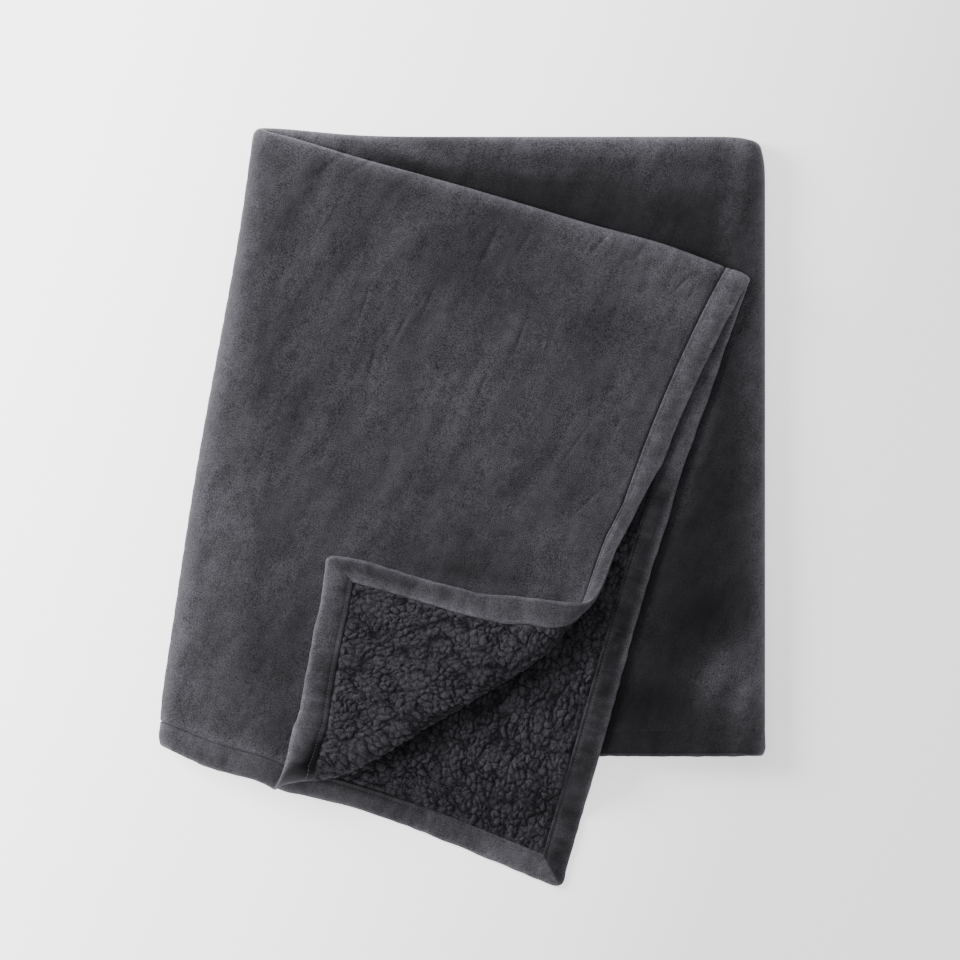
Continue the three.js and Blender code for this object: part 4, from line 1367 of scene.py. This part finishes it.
def binding_mottle(s, t, along, inward):
    """Small uneven patches of a binding's nap, with faint bars across the strip."""
    small = uneven_over(s, t, MOTTLE["spacing"], MOTTLE["seed"])
    wide = uneven_over(s, t, MOTTLE["wide_spacing"], MOTTLE["seed"] + 1)
    bars = uneven_over(along / BARS["width"], inward / BARS["length"], 1, BARS["seed"])
    return MOTTLE["change"] * (small + wide) + BARS["change"] * bars


def binding_lightness(s, t, side, edge):
    """What a binding's nap and painted light add: a painted sheen at the nose, and bands along it made
    paler or darker, partly nap and partly painted light and shade.
    """
    inward = from_edge(s, t)
    along = t if edge.endswith("end") else s
    lightness = BINDING_LIGHTNESS + binding_mottle(s, t, along, inward)
    for band in NAP_AND_PAINTED_SHADE_BANDS:
        if band["edge"] == edge:
            starting = smooth((along - band["from"]) / BAND_FADE + 0.5)
            ending = smooth((band["to"] - along) / BAND_FADE + 0.5)
            levels = [band["nose"], band["middle"], band["middle"], band["seam"]]
            change = np.interp(inward, BAND_PLACES, levels)
            lightness = lightness + change * starting * ending * (side == SIDES[band["side"]])
    # painted sheen along the nose of the strip
    nose = NOSE_PAINTED_SHEEN["change"] * np.exp(-((inward / NOSE_PAINTED_SHEEN["width"]) ** 2))
    from_line = (inward - EDGE_LINE["inward"]) / EDGE_LINE["width"]
    line = EDGE_LINE["change"] * np.exp(-(from_line**2))
    return lightness * on_the_flap(s, t) + (nose + line)


print(len(NAP_AND_PAINTED_SHADE_BANDS), "bands of brushed nap")

# %% [markdown]
# The strip wrinkles crosswise, in soft waves that are skewed a little and fade towards its lips. Its
# plumpness and its edge change slowly along it, and its ends are mitred.

# %% Mitres and wrinkles
MITRE_ROWS = 34
MITRE_FADE = 20
WRINKLE = {"height": 0.85, "even": 0.55, "uneven": 0.45, "spacing": 60}
WRINKLE_WAVES = table("skew spacing share", (0.3, 5.2, 1), (-0.2, 11, 0.7))
PLUMPNESS = {"height": 0.6, "spacing": 38}
NOSE_BULGE = 0.12
RIM_WIDTH = 7
RIM_WAVES = table("spacing share", (9, 0.5), (47, 0.7))


def mitred(row, inward, length):
    """How far along the edge the rows lie, slanted to the mitres at both ends."""
    mitre = inward + SEWN_GAP
    near_start = mitre + row / MITRE_ROWS * (MITRE_ROWS - mitre)
    near_end = length - mitre - (length - row) / MITRE_ROWS * (MITRE_ROWS - mitre)
    return np.where(row < MITRE_ROWS, near_start, np.where(row > length - MITRE_ROWS, near_end, row))


def puffed(along, inward, side, off_mitre, seed):
    """How much the strip's wrinkles and plump stretches add to its height."""
    bulge = np.sin(math.pi * np.clip(inward / (GROOVE + 1), NOSE_BULGE, 1))
    strength = WRINKLE["even"] + WRINKLE["uneven"] * uneven(along, WRINKLE["spacing"], seed)
    waves = sum(
        wave["share"] * uneven(along + wave["skew"] * inward, wave["spacing"], seed + number)
        for number, wave in enumerate(WRINKLE_WAVES, start=1)
    )
    plump = PLUMPNESS["height"] * uneven(along, PLUMPNESS["spacing"], seed + 3)
    return side * bulge * off_mitre * (WRINKLE["height"] * strength * waves + plump)


def rim_shift(along, seed):
    """How far the binding's edge is pushed in and out along it."""
    return sum(
        wave["share"] * uneven(along, wave["spacing"], seed + number)
        for number, wave in enumerate(RIM_WAVES, start=4)
    )


print("wrinkles are about", WRINKLE["height"], "mm high")

# %% [markdown]
# Each binding is the same strip on another edge of the throw, so a table says how far along and how
# far inward become s and t there. The section is set up at every row and joined to the next.

# %% Sweeping a binding
BINDING_STEP = 3.1
EDGES = table(
    "node edge length seed to_throw",
    ("binding_first_side", "first side", THROW_LENGTH, 61, lambda along, inward: (along, inward)),
    (
        "binding_second_side", "second side", THROW_LENGTH, 71,
        lambda along, inward: (along, THROW_WIDTH - inward),
    ),
    ("binding_flap_end", "flap end", THROW_WIDTH, 81, lambda along, inward: (THROW_LENGTH - inward, along)),
    ("binding_under_end", "under end", THROW_WIDTH, 91, lambda along, inward: (inward, along)),
)


def strip_faces(row_count, point_count):
    """The walls of a swept strip and the faces that close its two ends."""
    index = np.arange(row_count * point_count).reshape(row_count, point_count)
    around = np.roll(index, -1, axis=1)
    walls = np.stack([index[:-1], around[:-1], around[1:], index[1:]], axis=-1).reshape(-1, 4)
    half = np.arange(point_count // 2 - 1)
    first = np.stack([half, point_count - 1 - half, point_count - 2 - half, half + 1], axis=-1)
    last = index[-1][first[:, ::-1]]
    return np.concatenate([walls, first, last])


def signed_volume(points, faces):
    """Positive where the faces point outwards."""
    a, b, c, d = (points[faces[:, k]] for k in range(4))
    return float(np.sum(a * np.cross(b, c)) + np.sum(a * np.cross(c, d))) / 6


def piece_name(kind, edge):
    """The name of what is sewn along an edge."""
    return f"{kind}_of_the_{edge.replace(' ', '_')}"


def sweep_binding(edge, length, to_throw, seed):
    """A strip swept along one side of the throw."""
    rows = lines_over(
        (0, MITRE_ROWS, BINDING_STEP),
        (MITRE_ROWS, length - MITRE_ROWS, BINDING_STEP),
        (length - MITRE_ROWS, length, BINDING_STEP),
    )
    row, point = np.meshgrid(rows, np.arange(len(section)), indexing="ij")
    inward = section[point, 0]
    height = section[point, 1]
    along = mitred(row, inward, length)
    is_outer = point < len(outer_run)
    side = np.where(height > MIDDLE_OF_BINDING, 1, -1)
    off_mitre = smooth((np.minimum(along, length - along) - inward) / MITRE_FADE)
    height = height + puffed(along, inward, side, off_mitre, seed) * is_outer
    rim = np.clip(1 - inward / RIM_WIDTH, 0, 1) * is_outer * off_mitre
    inward = inward - rim * rim_shift(along, seed)
    s, t = to_throw(along, inward)
    is_levelled = (side > 0) & is_outer & (inward > LEVEL_FROM)
    level = np.maximum(flush_share(s, t), VELVET_SIDE_LEVEL) * is_levelled
    places = fold_points(s, t, mix(height, height_at(inward, LEVEL_TOP), level))
    points = places.reshape(-1, 3)
    faces = strip_faces(len(rows), len(section))
    if signed_volume(points, faces) < 0:
        faces = faces[:, ::-1]
    # the nap with its painted light and shade, and the painted sheen of the binding's nose
    nap_and_painted_light = nap_and_painted_light_at(s, t, places) + binding_lightness(s, t, side, edge)
    return new_piece(piece_name("binding", edge), points, faces, binding_material, {"nap_and_painted_light": nap_and_painted_light.ravel()})


bindings = {
    row["node"]: sweep_binding(row["edge"], row["length"], row["to_throw"], row["seed"]) for row in EDGES
}

# %% [markdown]
# ## The stitches
# A seam is one stitch, over and over. It could be a dashed bump, but a thread stands up and catches
# the light, so one stitch is modelled, as a short rod with sunken ends, and then copied along both
# sides of every binding. Each copy goes through the fold with the cloth, so it bends with it.

# %% One stitch
STITCH_LENGTH = 2.7
STITCH_WIDTH = 0.55
END_TAPER = 0.35
END_DROP = STITCH_WIDTH * 0.6

bpy.ops.object.select_all(action="DESELECT")
bpy.ops.mesh.primitive_cylinder_add(vertices=6, radius=STITCH_WIDTH / 2, depth=STITCH_LENGTH / 2)
stitch = bpy.context.object
bpy.ops.object.mode_set(mode="EDIT")
bpy.ops.mesh.select_all(action="DESELECT")
bpy.ops.object.mode_set(mode="OBJECT")
for end in (-1, 1):
    for face in stitch.data.polygons:
        face.select = face.normal.z * end > 0.9
    bpy.ops.object.mode_set(mode="EDIT")
    bpy.ops.mesh.extrude_region_move(TRANSFORM_OT_translate={"value": (0, 0, end * STITCH_LENGTH / 4)})
    bpy.ops.transform.resize(value=(END_TAPER, END_TAPER, 1), center_override=(0, 0, 0))
    bpy.ops.transform.translate(value=(-END_DROP, 0, 0))
    bpy.ops.mesh.select_all(action="DESELECT")
    bpy.ops.object.mode_set(mode="OBJECT")
stitch_points = np.array([vertex.co[:] for vertex in stitch.data.vertices])
stitch_faces = [list(face.vertices) for face in stitch.data.polygons]
bpy.data.objects.remove(stitch)
print("a stitch has", len(stitch_points), "points and", len(stitch_faces), "faces")


# %% [markdown]
# The stitches sit in the groove. On the velvet side, where the strip is nearly level, they sit
# higher, and along the lower edge of the middle third they are sunk out of sight, as the seam is.

# %% Sewing along the bindings
STITCH_PITCH = 3.5
STITCH_HEIGHT = 0.62
STRAYING = {"by": 0.12, "spacing": 4}
SEWN_FROM = BINDING_WIDTH + 2
LEVEL_RISE = 0.65
FLUSH_DEPTH = 2


def turns_with_the_throw(to_throw):
    """True where along and inward turn the same way round as s and t."""
    start, along, inward = (np.array(to_throw(*place)) for place in ((0, 0), (1, 0), (0, 1)))
    return np.linalg.det([along - start, inward - start]) > 0


def stitch_places(starts, side, to_throw, seed):
    """Every stitch's points on one face of a binding."""
    along = starts[:, None] + stitch_points[None, :, 2]
    straying = STRAYING["by"] * uneven(starts, STRAYING["spacing"], seed)
    inward = GROOVE + straying[:, None] + stitch_points[None, :, 1]
    raised = STITCH_HEIGHT - MIDDLE_OF_BINDING + stitch_points[None, :, 0]
    s, t = to_throw(along, inward)
    sunk = (FLUSH_DEPTH * flush_share(s, t) - LEVEL_RISE) * (side > 0)
    return fold_points(s, t, MIDDLE_OF_BINDING + side * (raised - sunk)).reshape(-1, 3)


def sew(edge, length, to_throw, seed):
    """Stitches along both faces of a binding, their faces outwards."""
    starts = np.arange(SEWN_FROM, length - SEWN_FROM, STITCH_PITCH)
    points = np.concatenate([stitch_places(starts, side, to_throw, seed) for side in (1, -1)])
    faces = []
    for copy in range(2 * len(starts)):
        is_above = copy < len(starts)
        order = -1 if is_above == turns_with_the_throw(to_throw) else 1
        first = copy * len(stitch_points)
        faces.extend([first + index for index in face][::order] for face in stitch_faces)
    return new_piece(piece_name("stitches", edge), points, faces, thread_material, {}, is_smooth=False)


stitches = [sew(row["edge"], row["length"], row["to_throw"], row["seed"] + 1) for row in EDGES]

# %% [markdown]
# ## Joining the frame
# Each piece rides on the frame's one body. The cloths and the bindings stand for the solids that
# they were made over, and the curls and stitches are sewn to them.

pieces = [velvet, pile, *curls, *bindings.values(), *stitches]
for piece in pieces:
    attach(piece, "root")
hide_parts("velvet_panel")
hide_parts("pile_panel")
for node, piece in bindings.items():
    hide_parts(node)
print(len(pieces), "pieces ride on the root")
